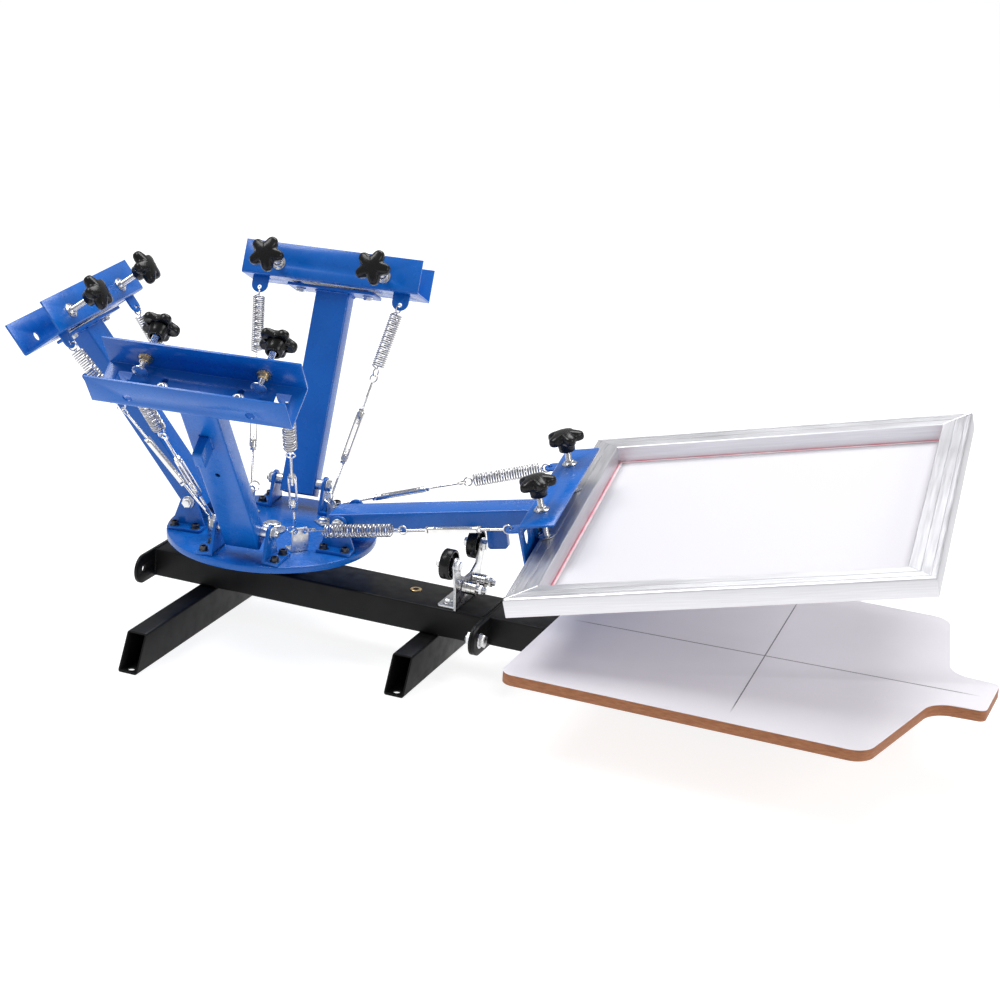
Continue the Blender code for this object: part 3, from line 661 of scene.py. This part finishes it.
def platen_board():
    half = PLATEN_W / 2
    back, end = PLATEN_X
    shoulder = PLATEN_BODY_X - 0.026
    points = arc((back + 0.016, half - 0.016), 0.016, 180, 90, 10)
    points += arc((shoulder, half - 0.026), 0.026, 90, 14, 14)
    points += arc((PLATEN_NECK_X + 0.032, TAB_HALF_W + 0.032), 0.032, 194, 266, 14)
    points += arc((end - 0.009, TAB_HALF_W - 0.011), 0.009, 80, 0, 8)
    points += [(x, -y) for x, y in reversed(points)]
    skin = 0.0009
    core = outline(points, PLATEN_T - skin, (), 0.0006)
    top = outline(points, skin, (), 0.0003)
    core_z = PLATEN_TOP - skin - (PLATEN_T - skin) / 2
    parts = [(core, at(0, 0, core_z), EDGE), (top, at(0, 0, PLATEN_TOP - skin / 2), WHITE)]
    place("platen_board_body", join(parts), "base", None, ("platen_board",), "laminate")


def gate():
    """The registration gate: a bent zinc plate with its studs, washers and nuts."""
    low = BEAM_TOP + 0.0005
    half = BEAM_W / 2
    points = [(half, low), (half + 0.003, low + 0.03)]
    points += arc((ROLLER_Y, ROLLER_Z), 0.0095, 0, 160, 14) + [(0.026, 0.131), (0.010, 0.1235)]
    points += [(-y, z) for y, z in reversed(points)]
    slot = rounded(-0.009, 0.009, 0.098, 0.103, 0.0024)
    upright = outline(points, GATE_T, [slot], 0.0004)
    foot_plate = outline(rounded(-0.026, 0.001, -0.034, 0.034, 0.003), GATE_T, (), 0.0004)
    sole = BEAM_TOP + GAP
    parts = [(upright, at(GATE_X, 0, 0) @ YZ, ZINC), (foot_plate, at(GATE_X, 0, sole + GATE_T / 2), ZINC),
             (rod(0.0024, -0.034, 0.034), at(GATE_X - 0.0008, 0, BEAM_TOP + 0.0028) @ UP_Y, ZINC)]
    for side in (-1, 1):
        parts += moved(bolt_set(*GATE_BOLT), at(GATE_X - 0.015, side * 0.022, sole + GATE_T))
        roller = at(GATE_X, side * ROLLER_Y, ROLLER_Z)
        parts.append((rod(0.004, -0.024, 0.001), roller @ UP_X, ZINC))
        parts += moved(bolt_set(*ROLLER_BOLT), roller @ at(GATE_T / 2, 0, 0) @ UP_X)
        parts.append((hexagon(0.011, 0.0042), roller @ at(-0.0200, 0, 0) @ DOWN_X, ZINC))
        bearing = at(GATE_X, side * BEARING_Y, BEARING_Z)
        stud = turned([(0, -0.004), (0.0039, -0.004), (0.0039, 0.031), (0.003, 0.0325), (0, 0.0325)], 20)
        parts.append((stud, bearing @ UP_X, ZINC))
        parts.append((hexagon(*STUD_NUT), bearing @ at(0.0242, 0, 0) @ UP_X, ZINC))
        parts.append((hexagon(*STUD_NUT), bearing @ at(-GATE_T / 2, 0, 0) @ DOWN_X, ZINC))
    place("gate_plate", join(parts), "base", None, ("gate_bracket",), "zinc")
    for word, side in SIDES:
        middle = (GATE_X - GATE_T / 2 - 0.0008 - ROLLER_W / 2, side * ROLLER_Y, ROLLER_Z)
        r, h, bore, boss = ROLLER_R, ROLLER_W / 2, 0.0043, 0.0085
        rim = [(bore, -h), (boss, -h), (boss, -h + 0.0035), (r - 0.0040, -h + 0.0035), (r - 0.0032, -h)]
        rim += [(r - 0.0008, -h), (r, -h + 0.0008), (r, h - 0.0008), (r - 0.0008, h), (r - 0.0032, h)]
        rim += [(r - 0.0040, h - 0.0045), (boss, h - 0.0045), (boss, h), (bore, h), (bore, -h)]
        wheel = turned(rim, 72)
        for vert in wheel.verts:
            radius = math.hypot(vert.co.x, vert.co.y)
            if radius > r - 0.0012:
                angle = math.atan2(vert.co.y, vert.co.x)
                shrink = 1 - 0.0007 / radius * (0.5 + 0.5 * math.cos(36 * angle))
                vert.co.x *= shrink
                vert.co.y *= shrink
        mesh = join([(wheel, I, RUBBER)], sharp=50)
        place(f"roller_{word}", mesh, f"roller_{word}", at(*middle) @ UP_X,
              (f"gate_roller_{word}",), "black_plastic")
        middle = (GATE_X + GATE_T / 2 + 0.0008 + 0.009, side * BEARING_Y, BEARING_Z)
        races = []
        for i in range(3):
            z, soft = -0.009 + i * 0.006, 0.0004
            race = [(bore, z), (BEARING_R - soft, z), (BEARING_R, z + soft), (BEARING_R, z + 0.0054)]
            race += [(BEARING_R - soft, z + 0.0058), (bore, z + 0.0058), (bore, z)]
            races.append((turned(race, 40), I, NICKEL))
        place(f"bearing_{word}", join(races), f"bearing_{word}", at(*middle) @ UP_X,
              (f"gate_bearing_{word}",), "chrome")


def hub():
    low, high, bore = BEAM_TOP + GAP, DISC_TOP - DISC_T - GAP, 0.0085
    housing = [(bore, low), (0.0455, low), (0.046, low + 0.0005), (0.046, low + 0.0055)]
    housing += [(0.0455, low + 0.006), (0.036, low + 0.006), (0.034, low + 0.008)]
    housing += [(0.034, high - 0.0015), (0.0325, high), (bore, high), (bore, low)]
    parts = [(turned(housing, 64), I, BLACK)]
    for i in range(4):
        spot = Matrix.Rotation(math.pi / 4 + i * math.pi / 2, 4, "Z") @ at(0.0405, 0, low + 0.006)
        parts.append((socket_screw(0.0042, 0.004), spot, DARK_STEEL))
    place("spindle_body", join(parts), "base", at(AXIS_X, 0, 0), ("spindle_housing",), "black_paint")
    z, r = DISC_TOP + GAP, 0.0078
    shank = turned([(0, low), (r, low), (r, z + 0.010), (0.0070, z + 0.0108), (0, z + 0.0108)], 32)
    low, high = z + 0.008, z + 0.0104
    collar = [(r, low), (0.0098, low), (0.0094, z + 0.0098), (0.0085, high), (r, high)]
    king = [(shank, I, ZINC), (washer(0.018, r, 0.002), at(0, 0, z), ZINC),
            (hexagon(0.0224, 0.0062), at(0, 0, z + 0.002), ZINC), (turned(collar, 28), I, ZINC)]
    place("king_bolt_body", join(king), "base", at(AXIS_X, 0, 0), ("king_bolt",), "zinc")
    r, low, high = DISC_R, DISC_TOP - DISC_T, DISC_TOP
    disc = [(bore, low), (r - 0.0016, low), (r - 0.0005, low + 0.0005), (r, low + 0.0016), (r, high - 0.0016)]
    disc += [(r - 0.0005, high - 0.0005), (r - 0.0016, high), (bore, high), (bore, low)]
    plate = join([(turned(disc, 128), I, BLUE)])
    place("turntable_plate", plate, "turntable", at(AXIS_X, 0, 0), ("turntable_disc",), "blue_paint")


# What stands on the turntable


def bracket_mesh(side):
    """An angle bracket with a round-topped ear; its frame is at the pivot."""
    drop = PIVOT_Z - DISC_TOP - GAP
    half = BRACKET_L / 2
    inner, low = half - 0.0005, -drop + 0.0005
    points = [(-inner, low), (inner, low), (inner, -drop + 0.0055), (inner - 0.002, -drop + 0.0095)]
    points += arc((0, 0), 0.0112, 14, 166, 16) + [(-inner + 0.002, -drop + 0.0095), (-inner, -drop + 0.0055)]
    ear = outline(points, EAR_T, [circle((0, 0), 0.00435, 24)], 0.0004)
    sole = outline(rounded(-half, half, -BRACKET_FOOT / 2, BRACKET_FOOT / 2, 0.0022), EAR_T, (), 0.0004)
    bend_r, washer_h = 0.0022, 0.0010
    bend = rod(bend_r, -half + 0.0004, half - 0.0004)
    parts = [(ear, at(0, side * (EAR_IN + EAR_T / 2), 0) @ XZ, BLUE),
             (sole, at(0, side * (EAR_IN + BRACKET_FOOT / 2), -drop + EAR_T / 2), BLUE),
             (bend, at(0, side * (EAR_IN + bend_r), -drop + bend_r) @ UP_X, BLUE)]
    for x in (-0.0145, 0.0145):
        spot = at(x, side * (EAR_IN + 0.0145), -drop + EAR_T)
        parts.append((washer(0.0062, 0.003, washer_h), spot, DARK_STEEL))
        parts.append((socket_screw(0.0052, 0.0048), spot @ at(0, 0, washer_h), DARK_STEEL))
    return join(parts)


def anchor_mesh():
    """A zinc angle with two holes for hooks, held by a screw. Its frame is on the disc."""
    half, high, nip, sheet = ANCHOR_W / 2, ANCHOR_H, 0.003, 0.002
    points = [(-half, 0.0004), (half, 0.0004), (half, high - nip), (half - nip, high)]
    points += [(-half + nip, high), (-half, high - nip)]
    holes = [circle((side * ANCHOR_HOLE[0], ANCHOR_HOLE[1]), ANCHOR_HOLE_R, 20) for side in (-1, 1)]
    plate = outline(points, sheet, holes, 0.0003)
    sole = outline(rounded(-0.020, 0.0004, -half, half, 0.003), sheet, (), 0.0003)
    parts = [(plate, at(ANCHOR_R, 0, 0) @ YZ, ZINC), (sole, at(ANCHOR_R, 0, sheet / 2), ZINC)]
    parts += moved(bolt_set(*ANCHOR_BOLT), at(ANCHOR_R - 0.0115, 0, sheet))
    return join(parts)


# Arms


def arm_mesh():
    """An arm's tube with its end plate, gate tongue and pivot bolt. Its frame is at the pivot."""
    plate_t = 0.004
    length = WEB_S - 0.003 - plate_t
    tube = rect_tube(ARM_H, ARM_W, 0.0032, 0.0020, length + ARM_BACK)
    transform(tube, at(-ARM_BACK, 0, ARM_Z) @ UP_X)
    drill = rod(0.0035, -0.01, 0.01, 18)
    shift(drill, 0.135, 0, ARM_Z - ARM_H / 2)
    parts = [(cut(tube, drill), I, BLUE)]
    plate_l, plate_h = 0.124, 0.040
    plate = outline(rounded(-plate_l / 2, plate_l / 2, -plate_h / 2, plate_h / 2, 0.003), plate_t, (), 0.0004)
    parts.append((plate, at(length + plate_t / 2, 0, HEAD_Z) @ YZ, BLUE))
    for side in (-1, 1):
        parts.append((fillet(ARM_H - 0.003), at(length - 0.0004, side * ARM_W / 2, ARM_Z), BLUE))
        parts.append((fillet(ARM_W - 0.003), at(length - 0.0004, 0, ARM_Z + side * ARM_H / 2) @ UP_Y, BLUE))
        nut = [(hexagon(0.010, 0.0052), I, ZINC), (washer(0.0072, 0.002, 0.0012), I, ZINC)]
        parts += moved(nut, at(length, side * SLOT_T, HEAD_Z) @ DOWN_X)
    low = ARM_Z - ARM_H / 2
    tongue = outline(rounded(0.187, 0.213, low - 0.030, low + 0.0005, 0.004, 5), 0.012, (), 0.0005)
    parts.append((tongue, XZ, BLUE))
    for side in (-1, 1):
        parts.append((fillet(0.024), at(0.200, side * 0.0062, low) @ UP_X, BLUE))
    # pivot bolt, spacers and lock nuts
    reach = EAR_IN + EAR_T + GAP
    parts.append((rod(0.0040, -reach - 0.008, reach + 0.009, 24), UP_Y, ZINC))
    for side in (-1, 1):
        out = UP_Y if side > 0 else DOWN_Y
        parts += moved(bolt_set(*PIVOT_BOLT), at(0, side * reach, 0) @ out)
        spacer = ring(0.004, 0.0072, 0, EAR_IN - ARM_W / 2 - 0.0006, 28)
        parts.append((spacer, at(0, side * (ARM_W / 2 + 0.0001), 0) @ out, ZINC))
    return join(parts)


def head_mesh():
    """A folded channel, open outwards, with its slots, lug windows, lugs and screws."""
    low, high, t, bend = -HEAD_H / 2, HEAD_H / 2, HEAD_T, 0.0034
    inner = bend - t
    section = [(HEAD_D, low), (HEAD_D, low + t)] + arc((bend, low + bend), inner, 270, 180, 4)
    section += arc((bend, high - bend), inner, 180, 90, 4) + [(HEAD_D, high - t), (HEAD_D, high)]
    section += arc((bend, high - bend), bend, 90, 180, 5) + arc((bend, low + bend), bend, 180, 270, 5)
    channel = outline(section, HEAD_L, (), 0.0)
    transform(channel, XZ)
    tools = []
    lug_z, window_r, depth = LUG_Z - HEAD_Z, 0.0095, 0.02
    for side in (-1, 1):
        y = side * SLOT_T
        slot = outline(rounded(y - SLOT_R, y + SLOT_R, -SLOT_L / 2, SLOT_L / 2, SLOT_R - 0.0001, 6), depth)
        window = arc((0, -0.0105), window_r, 180, 360, 14) + [(window_r, -0.0018), (-window_r, -0.0018)]
        hole = outline([(side * LUG_T + u, lug_z + v) for u, v in window], depth)
        for tool in (slot, hole):
            transform(tool, YZ)
            tools.append(tool)
        for radius, x, y, z in ((0.0048, KNOB_S, side * KNOB_T, high), (0.0060, 0.016, side * 0.0765, low)):
            drill = rod(radius, -depth / 2, depth / 2, 24)
            shift(drill, x, y, z)
            tools.append(drill)
    parts = [(cut(channel, *tools), I, BLUE)]
    for side in (-1, 1):
        tip = arc((-LUG_REACH + LUG_W / 2, 0), LUG_W / 2, 90, 270, 18)
        hole = circle((-LUG_REACH + LUG_HOLE_IN, 0), 0.0031, 20)
        lug = outline([(0.0012, -LUG_W / 2), (0.0012, LUG_W / 2)] + tip, t, [hole], 0.0003)
        parts.append((lug, at(0, side * LUG_T, lug_z), BLUE))
        # the screw that holds the head, seen inside the channel
        parts.append((washer(0.0082, 0.002, 0.0012), at(t, side * SLOT_T, 0) @ UP_X, ZINC))
        parts.append((socket_screw(0.0048, 0.0036), at(t + 0.0012, side * SLOT_T, 0) @ UP_X, ZINC))
        # the clamp screw's flanged collar above the flange and its nut below
        bore = 0.0045
        collar = [(bore, 0), (0.0098, 0), (0.0098, 0.0009), (0.0068, 0.0013), (0.0066, 0.0042)]
        collar = turned(collar + [(0.0060, 0.0048), (bore, 0.0048), (bore, 0)], 32)
        parts.append((collar, at(KNOB_S, side * KNOB_T, high + 0.0001), NICKEL))
        nut = [(bore, -0.0078), (0.0058, -0.0078), (0.0064, -0.0072), (0.0064, -0.0016), (0.0092, -0.0012)]
        nut = turned(nut + [(0.0092, 0), (bore, 0), (bore, -0.0078)], 28)
        parts.append((nut, at(KNOB_S, side * KNOB_T, high - t - 0.0001), BRASS))
    return join(parts, 0.00025)


def knob_mesh(number):
    """A domed star knob with its hub, its threaded screw and the swivel pad."""
    lift = KNOB_LIFT[number]
    pad_low = -HEAD_H / 2 + 0.003 + FRAME_H + 0.0009 + lift
    star_low = HEAD_H / 2 + 0.0172 + 0.0135 + lift
    lobes, steps, plain_r, lobe_depth = 5, 100, 0.0120, 0.0080
    dome = [(0.0, -0.0010), (0.0095, -0.0010), (0.0100, 0.0020), (0.0150, 0.0022), (0.0205, 0.0002)]
    dome += [(0.0228, 0.0004), (0.0240, 0.0016), (0.0245, 0.0040), (0.0244, 0.0068), (0.0236, 0.0090)]
    dome += [(0.0218, 0.0104), (0.0180, 0.0120), (0.0120, 0.0138), (0.0060, 0.0148), (0.0, 0.0151)]
    star = turned(dome, steps)
    for vert in star.verts:
        radius = math.hypot(vert.co.x, vert.co.y)
        if radius > plain_r:
            angle = math.atan2(vert.co.y, vert.co.x)
            scallop = (0.5 - 0.5 * math.cos(lobes * angle)) ** 1.35
            depth = lobe_depth * scallop * min(1.0, (radius - plain_r) / 0.009)
            vert.co.x -= depth * math.cos(angle)
            vert.co.y -= depth * math.sin(angle)
    hub_low, recess = -0.0122, 0.0042
    bore, wide = 0.0042, 0.0072
    hub = [(wide, hub_low), (0.0098, hub_low), (0.0104, hub_low + 0.0006), (0.0108, -0.006), (0.0122, -0.001)]
    hub += [(0.0130, 0.001), (bore, 0.001), (bore, hub_low + recess), (wide, hub_low + recess)]
    neck = turned(hub + [(wide, hub_low)], 48)
    screw = threaded(0.0039, star_low + hub_low + 0.002 - pad_low - 0.002, 0.00125, 16)
    pad = [(0, 0), (0.0092, 0), (0.0100, 0.0005), (0.0100, 0.0013), (0.0094, 0.0016), (0.0056, 0.0018)]
    pad = turned(pad + [(0.0050, 0.0026), (0, 0.0026)], 36)
    turn = Matrix.Rotation({1: 0.3, 2: 0.9, 3: 0.1, 4: 0.6}[number], 4, "Z")
    parts = [(star, at(0, 0, star_low) @ turn, KNOB), (neck, at(0, 0, star_low), KNOB),
             (screw, at(0, 0, pad_low + 0.002), NICKEL), (pad, at(0, 0, pad_low), ZINC)]
    return join(parts, sharp=42)


# Spring lines: x runs from the hinged end


def facing(sign):
    """A shape that stands up from z=0, laid along +x or -x."""
    return UP_X if sign > 0 else DOWN_X


def loop(end_x, radius, upright, lean, inward):
    """A wire eye whose ring passes through end_x."""
    middle = (end_x + inward * radius * math.cos(lean), radius * math.sin(lean))
    points = []
    for i in range(36):
        a = math.tau * i / 36
        u, v = middle[0] + radius * math.cos(a), middle[1] + radius * math.sin(a)
        points.append((u, 0, -v) if upright else (u, v, 0))
    return wire(points, 0.0010, closed=True, sides=2)


def coil(start, end, radius, turns, gauge):
    """A close helix along x, whose last turns bend in to the axis."""
    points = []
    steps = 14
    total = turns * steps
    for i in range(total + 1):
        share = i / total
        a = math.tau * i / steps
        points.append((start + (end - start) * share, radius * math.cos(a), radius * math.sin(a)))
    first = (points[0][0] - 0.0035, 0.0, 0.0)
    last = (points[-1][0] + 0.0035, 0.0, 0.0)
    return wire([first] + points + [last], gauge, sides=1)


def spring_mesh(first, last):
    """An open coil between two eyes. An end is (x, radius, upright, lean, reach)."""
    start, end = first[0] + first[4], last[0] - last[4]
    turns = 26
    parts = [(coil(start, end, 0.0079, turns, 0.00088), I, STEEL_WIRE)]
    for x, radius, upright, lean, reach, inward in ((*first, 1), (*last, -1)):
        parts.append((loop(x, radius, upright, lean, inward), I, NICKEL))
        rod_from = x + inward * 2 * radius * math.cos(lean)
        rod_to = x + inward * (reach + 0.001)
        if abs(rod_to - x) > abs(rod_from - x):
            parts.append((wire([(rod_from, 0, 0), (rod_to, 0, 0)], 0.0010), I, NICKEL))
    return join(parts)


def turnbuckle_mesh(middle, first, last):
    """Two threaded eyes in an open body with flat sides and a boss at each end."""
    half, width, solid = 0.035, 0.0108, 0.0105
    window = rounded(-half + solid, half - solid, -0.0031, 0.0031, 0.0028, 5)
    body = outline(rounded(-half, half, -width / 2, width / 2, 0.0030, 5), 0.0056, [window], 0.0009)
    parts = [(body, at(middle, 0, 0), NICKEL)]
    for side in (-1, 1):
        boss = [(0, 0), (0.0036, 0), (0.0042, 0.0006), (0.0042, 0.0074), (0.0036, 0.0080), (0, 0.0080)]
        parts.append((turned(boss, 24), at(middle + side * (half - 0.004) - 0.004, 0, 0) @ UP_X, NICKEL))
        nut = hexagon(0.0078, 0.0032, 0.0004)
        parts.append((nut, at(middle + side * (half + 0.0004), 0, 0) @ facing(side), NICKEL))
    for x, radius, upright, lean, inward in ((*first, 1), (*last, -1)):
        parts.append((loop(x, radius, upright, lean, inward), I, NICKEL))
        start = x + inward * 2 * radius * math.cos(lean)
        stop = middle - inward * (half - 0.018)
        length = abs(stop - start)
        bare = length * 0.35
        parts.append((rod(0.0017, 0, bare, 14), at(start, 0, 0) @ facing(inward), NICKEL))
        thread = threaded(0.00175, length - bare, 0.0008, 10)
        parts.append((thread, at(start + inward * bare, 0, 0) @ facing(inward), NICKEL))
    return join(parts)


def line_frame(start, end):
    along = (end - start).normalized()
    side = Vector((0, 0, 1)).cross(along).normalized()
    return Matrix.Translation(start) @ Matrix((along, side, along.cross(side))).transposed().to_4x4()


def spring_line(number, word, side, head):
    lug = head @ Vector((-LUG_REACH + LUG_HOLE_IN, side * LUG_T, LUG_Z - HEAD_Z))
    corner = TURN + math.radians(ARMS[number][0]) + side * math.pi / 4
    out = Vector((math.cos(corner), math.sin(corner), 0))
    across = Vector((-math.sin(corner), math.cos(corner), 0))
    anchor = Vector((AXIS_X, 0, DISC_TOP + ANCHOR_HOLE[1])) + out * ANCHOR_R - across * side * ANCHOR_HOLE[0]
    length = (anchor - lug).length
    reverse = (number, word) == REVERSED_LINE
    start, end = (lug, anchor) if reverse else (anchor, lug)
    held = line_frame(start, end)
    lean = (side if reverse else -side) * EYE_LEAN
    if reverse:
        split = REVERSED_SPLIT
        buckle = turnbuckle_mesh(0.080, (0, EYE_R, True, 0), (split, EYE_R, True, 0))
        last = (length, BIG_EYE_R, False, lean, 0.030)
        sprung = spring_mesh((split - 0.0027, EYE_R, False, 0, 0.0135), last)
    else:
        split = LINE_SPLIT
        buckle = turnbuckle_mesh(0.092, (0, BIG_EYE_R, False, lean), (split, EYE_R, False, 0))
        sprung = spring_mesh((split - 0.0027, EYE_R, True, 0, 0.0135), (length, EYE_R, True, 0, 0.0135))
    tag = f"{number}_{word}"
    place(f"turnbuckle_{tag}", buckle, f"buckle_{tag}", held, (f"arm_{number}_turnbuckle_{word}",), "chrome")
    thing = in_scene(f"spring_{tag}", sprung)
    thing.data.transform(held)
    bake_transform(thing)
    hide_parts(f"arm_{number}_spring_{word}")


# Screen


def square(x0, x1, y):
    """A plan rectangle's corners, from its near back one."""
    return [(x0, -y), (x1, -y), (x1, y), (x0, y)]


def screen(head):
    """The clamped screen: four grooved bars, the mesh, its glue lines and a painted reflection of the inner
    glue line.
    """
    low = -HEAD_H / 2 + 0.0033
    back, half_w = 0.003 + FRAME_S, FRAME_W / 2
    front = back + FRAME_L
    w, h, groove, shallow = BAR_W, FRAME_H, FRAME_H - 0.0008, FRAME_H - 0.0007
    profile = [(0, 0), (0, h - 0.0030), (0.0009, h - 0.0009), (0.0024, h), (0.0062, h), (0.0065, groove)]
    profile += [(0.0074, groove), (0.0077, h), (0.0190, h), (0.0193, shallow), (0.0201, shallow), (0.0204, h)]
    profile += [(w - 0.0010, h), (w, h - 0.0010), (w, 0)]

    def bar(a, b, c, d, paint):
        """One mitred bar of the profile, from its plan corners (outer a-b, inner c-d)."""
        shape = bmesh.new()
        rows = []
        for (ox, oy), (ix, iy) in ((a, d), (b, c)):
            rows.append([shape.verts.new((ox + (ix - ox) * off / w, oy + (iy - oy) * off / w, low + z))
                         for off, z in profile])
        shape.faces.new(rows[0])
        shape.faces.new(rows[1][::-1])
        for k in range(len(profile)):
            m = (k + 1) % len(profile)
            shape.faces.new((rows[0][k], rows[0][m], rows[1][m], rows[1][k]))
        bmesh.ops.recalc_face_normals(shape, faces=shape.faces)
        return shape, I, paint

    o, i = square(back, front, half_w), square(back + w, front - w, half_w - w)
    names = ("near", "outer", "far", "inner")
    for n, name in enumerate(names):
        m = (n + 1) % 4
        # the outer and inner bars take the darker aluminium, which is painted shade
        paint = ALU_X if n % 2 == 0 else ALU_Y_SHADED
        mesh = join([bar(o[n], o[m], i[m], i[n], paint)], sharp=25)
        place(f"frame_bar_{name}", mesh, "arm_1", head, ("screen_frame",) if n == 0 else (), "aluminium")
    seams = []
    for n in range(4):
        (x0, y0), (x1, y1) = o[n], i[n]
        for z in (low, low + FRAME_H):
            shares = [0.03 + 0.94 * s / 24 for s in range(25)]
            points = [(x0 + (x1 - x0) * share, y0 + (y1 - y0) * share, z) for share in shares]
            seams.append((wire(points, 0.0004), I, ALU_X))
    place("frame_seams", join(seams), "arm_1", head, (), "aluminium")
    z = low + 0.0015
    x0, x1, y1 = back + w + GAP, front - w - GAP, half_w - w - GAP
    cloth = bmesh.new()
    n, sag = 24, 0.0002
    grid = []
    for a in range(n + 1):
        row = []
        for b in range(n + 1):
            dip = sag * math.sin(math.pi * a / n) * math.sin(math.pi * b / n)
            row.append(cloth.verts.new((x0 + (x1 - x0) * a / n, -y1 + 2 * y1 * b / n, z - dip)))
        grid.append(row)
    for a in range(n):
        for b in range(n):
            cloth.faces.new((grid[a][b], grid[a + 1][b], grid[a + 1][b + 1], grid[a][b + 1]))
    mesh = join([(cloth, I, CLOTH)])
    sheet = place("mesh_sheet", mesh, "arm_1", head, ("screen_mesh",), "mesh")
    thick = sheet.modifiers.new("thickness", "SOLIDIFY")
    thick.thickness = 0.0002
    strips = []
    # a strong glue line at the frame's inner edge, and beside it a paler band that is a painted reflection of
    # that line
    for inset, wide, paint in ((0.0, 0.0016, GLUE), (0.0016, 0.0030, PALE_GLUE_AND_REFLECTION)):
        a0, a1, b1 = x0 + inset, x1 - inset, y1 - inset
        hole = square(a0 + wide, a1 - wide, -(b1 - wide))
        strip = outline(square(a0, a1, b1), 0.0003, [hole])
        strips.append((strip, at(0, 0, z + 0.0004), paint))
    # the pale glue on the rim under the frame is real glue
    inset, wide = 0.0002, 0.02
    hole = square(back + wide, front - wide, -(half_w - wide))
    rim = outline(square(back + inset, front - inset, half_w - inset), 0.0004, [hole])
    strips.append((rim, at(0, 0, low - 0.0001), PALE_GLUE_AND_REFLECTION))
    place("glue_lines_and_painted_reflection", join(strips), "arm_1", head, (), "mesh")


# Assembly


base_beam()
for foot_name, (foot_x, foot_half) in FEET.items():
    foot(foot_name, foot_x, foot_half)
platen_arm()
platen_board()
gate()
hub()
for number, (azimuth, tilt) in ARMS.items():
    around = at(AXIS_X, 0, 0) @ Matrix.Rotation(TURN + math.radians(azimuth), 4, "Z")
    seat = around @ at(PIVOT_R, 0, PIVOT_Z)
    pivot = seat @ Matrix.Rotation(-math.radians(tilt), 4, "Y")
    head = pivot @ at(WEB_S, 0, HEAD_Z)
    if number == 1:
        head = head @ Matrix.Rotation(-HEAD_PITCH, 4, "Y") @ Matrix.Rotation(HEAD_ROLL, 4, "X")
    corner = around @ Matrix.Rotation(math.pi / 4, 4, "Z") @ at(0, 0, DISC_TOP + GAP)
    place(f"anchor_{number}", anchor_mesh(), "turntable", corner, (f"spring_anchor_{number}",), "zinc")
    place(f"tube_{number}", arm_mesh(), f"arm_{number}", pivot, (f"arm_{number}_tube",), "blue_paint")
    place(f"head_{number}", head_mesh(), f"arm_{number}", head, (f"arm_{number}_head",), "blue_paint")
    for word, side in SIDES:
        place(f"bracket_{number}_{word}", bracket_mesh(side), "turntable", seat,
              (f"pivot_bracket_{number}_{word}",), "blue_paint")
        place(f"clamp_{number}_{word}_knob", knob_mesh(number), f"clamp_{number}_{word}",
              head @ at(KNOB_S, side * KNOB_T, 0), (f"arm_{number}_clamp_{word}",), "black_plastic")
        spring_line(number, word, side, head)
    if number == 1:
        screen(head)


# Studio


def plain(name, colour, roughness):
    paint = Paint(name, colour, roughness)
    paint.rough(paint.ramp(paint.noise(3, 2), roughness * 0.95, roughness * 1.05))
    return paint.made


floor = bmesh.new()
bmesh.ops.create_grid(floor, x_segments=2, y_segments=2, size=40)
floor_paint = plain("floor_white", (0.30, 0.30, 0.30), 0.7)
floor_shader = floor_paint.node_tree.nodes["Principled BSDF"]
floor_shader.inputs["Emission Color"].default_value = (1, 1, 1, 1)
floor_shader.inputs["Emission Strength"].default_value = 0.86
in_scene("floor", join([(floor, at(0, 0, -0.0005), floor_paint)]))


def area_light(name, place_at, target, size, power):
    lamp = bpy.data.lights.new(name, "AREA")
    lamp.shape = "RECTANGLE"
    lamp.size, lamp.size_y = size
    lamp.energy = power
    turn = (Vector(target) - Vector(place_at)).to_track_quat("-Z", "Y").to_matrix().to_4x4()
    in_scene(name, lamp).matrix_world = Matrix.Translation(place_at) @ turn


bpy.context.scene.view_settings.view_transform = "Standard"
LIT = (0.4, 0, 0.1)
area_light("key", (-1.4, -0.5, 3.2), LIT, (1.8, 1.4), 66)
area_light("top", (0.6, 1.5, 3.0), LIT, (2.6, 1.6), 84)
area_light("side", (3.4, -0.8, 1.8), LIT, (1.2, 1.2), 26)
world = bpy.data.worlds.new("studio")
bpy.context.scene.world = world
world.use_nodes = True
world.node_tree.nodes["Background"].inputs["Color"].default_value = (1.0, 1.0, 1.0, 1)
world.node_tree.nodes["Background"].inputs["Strength"].default_value = 0.38
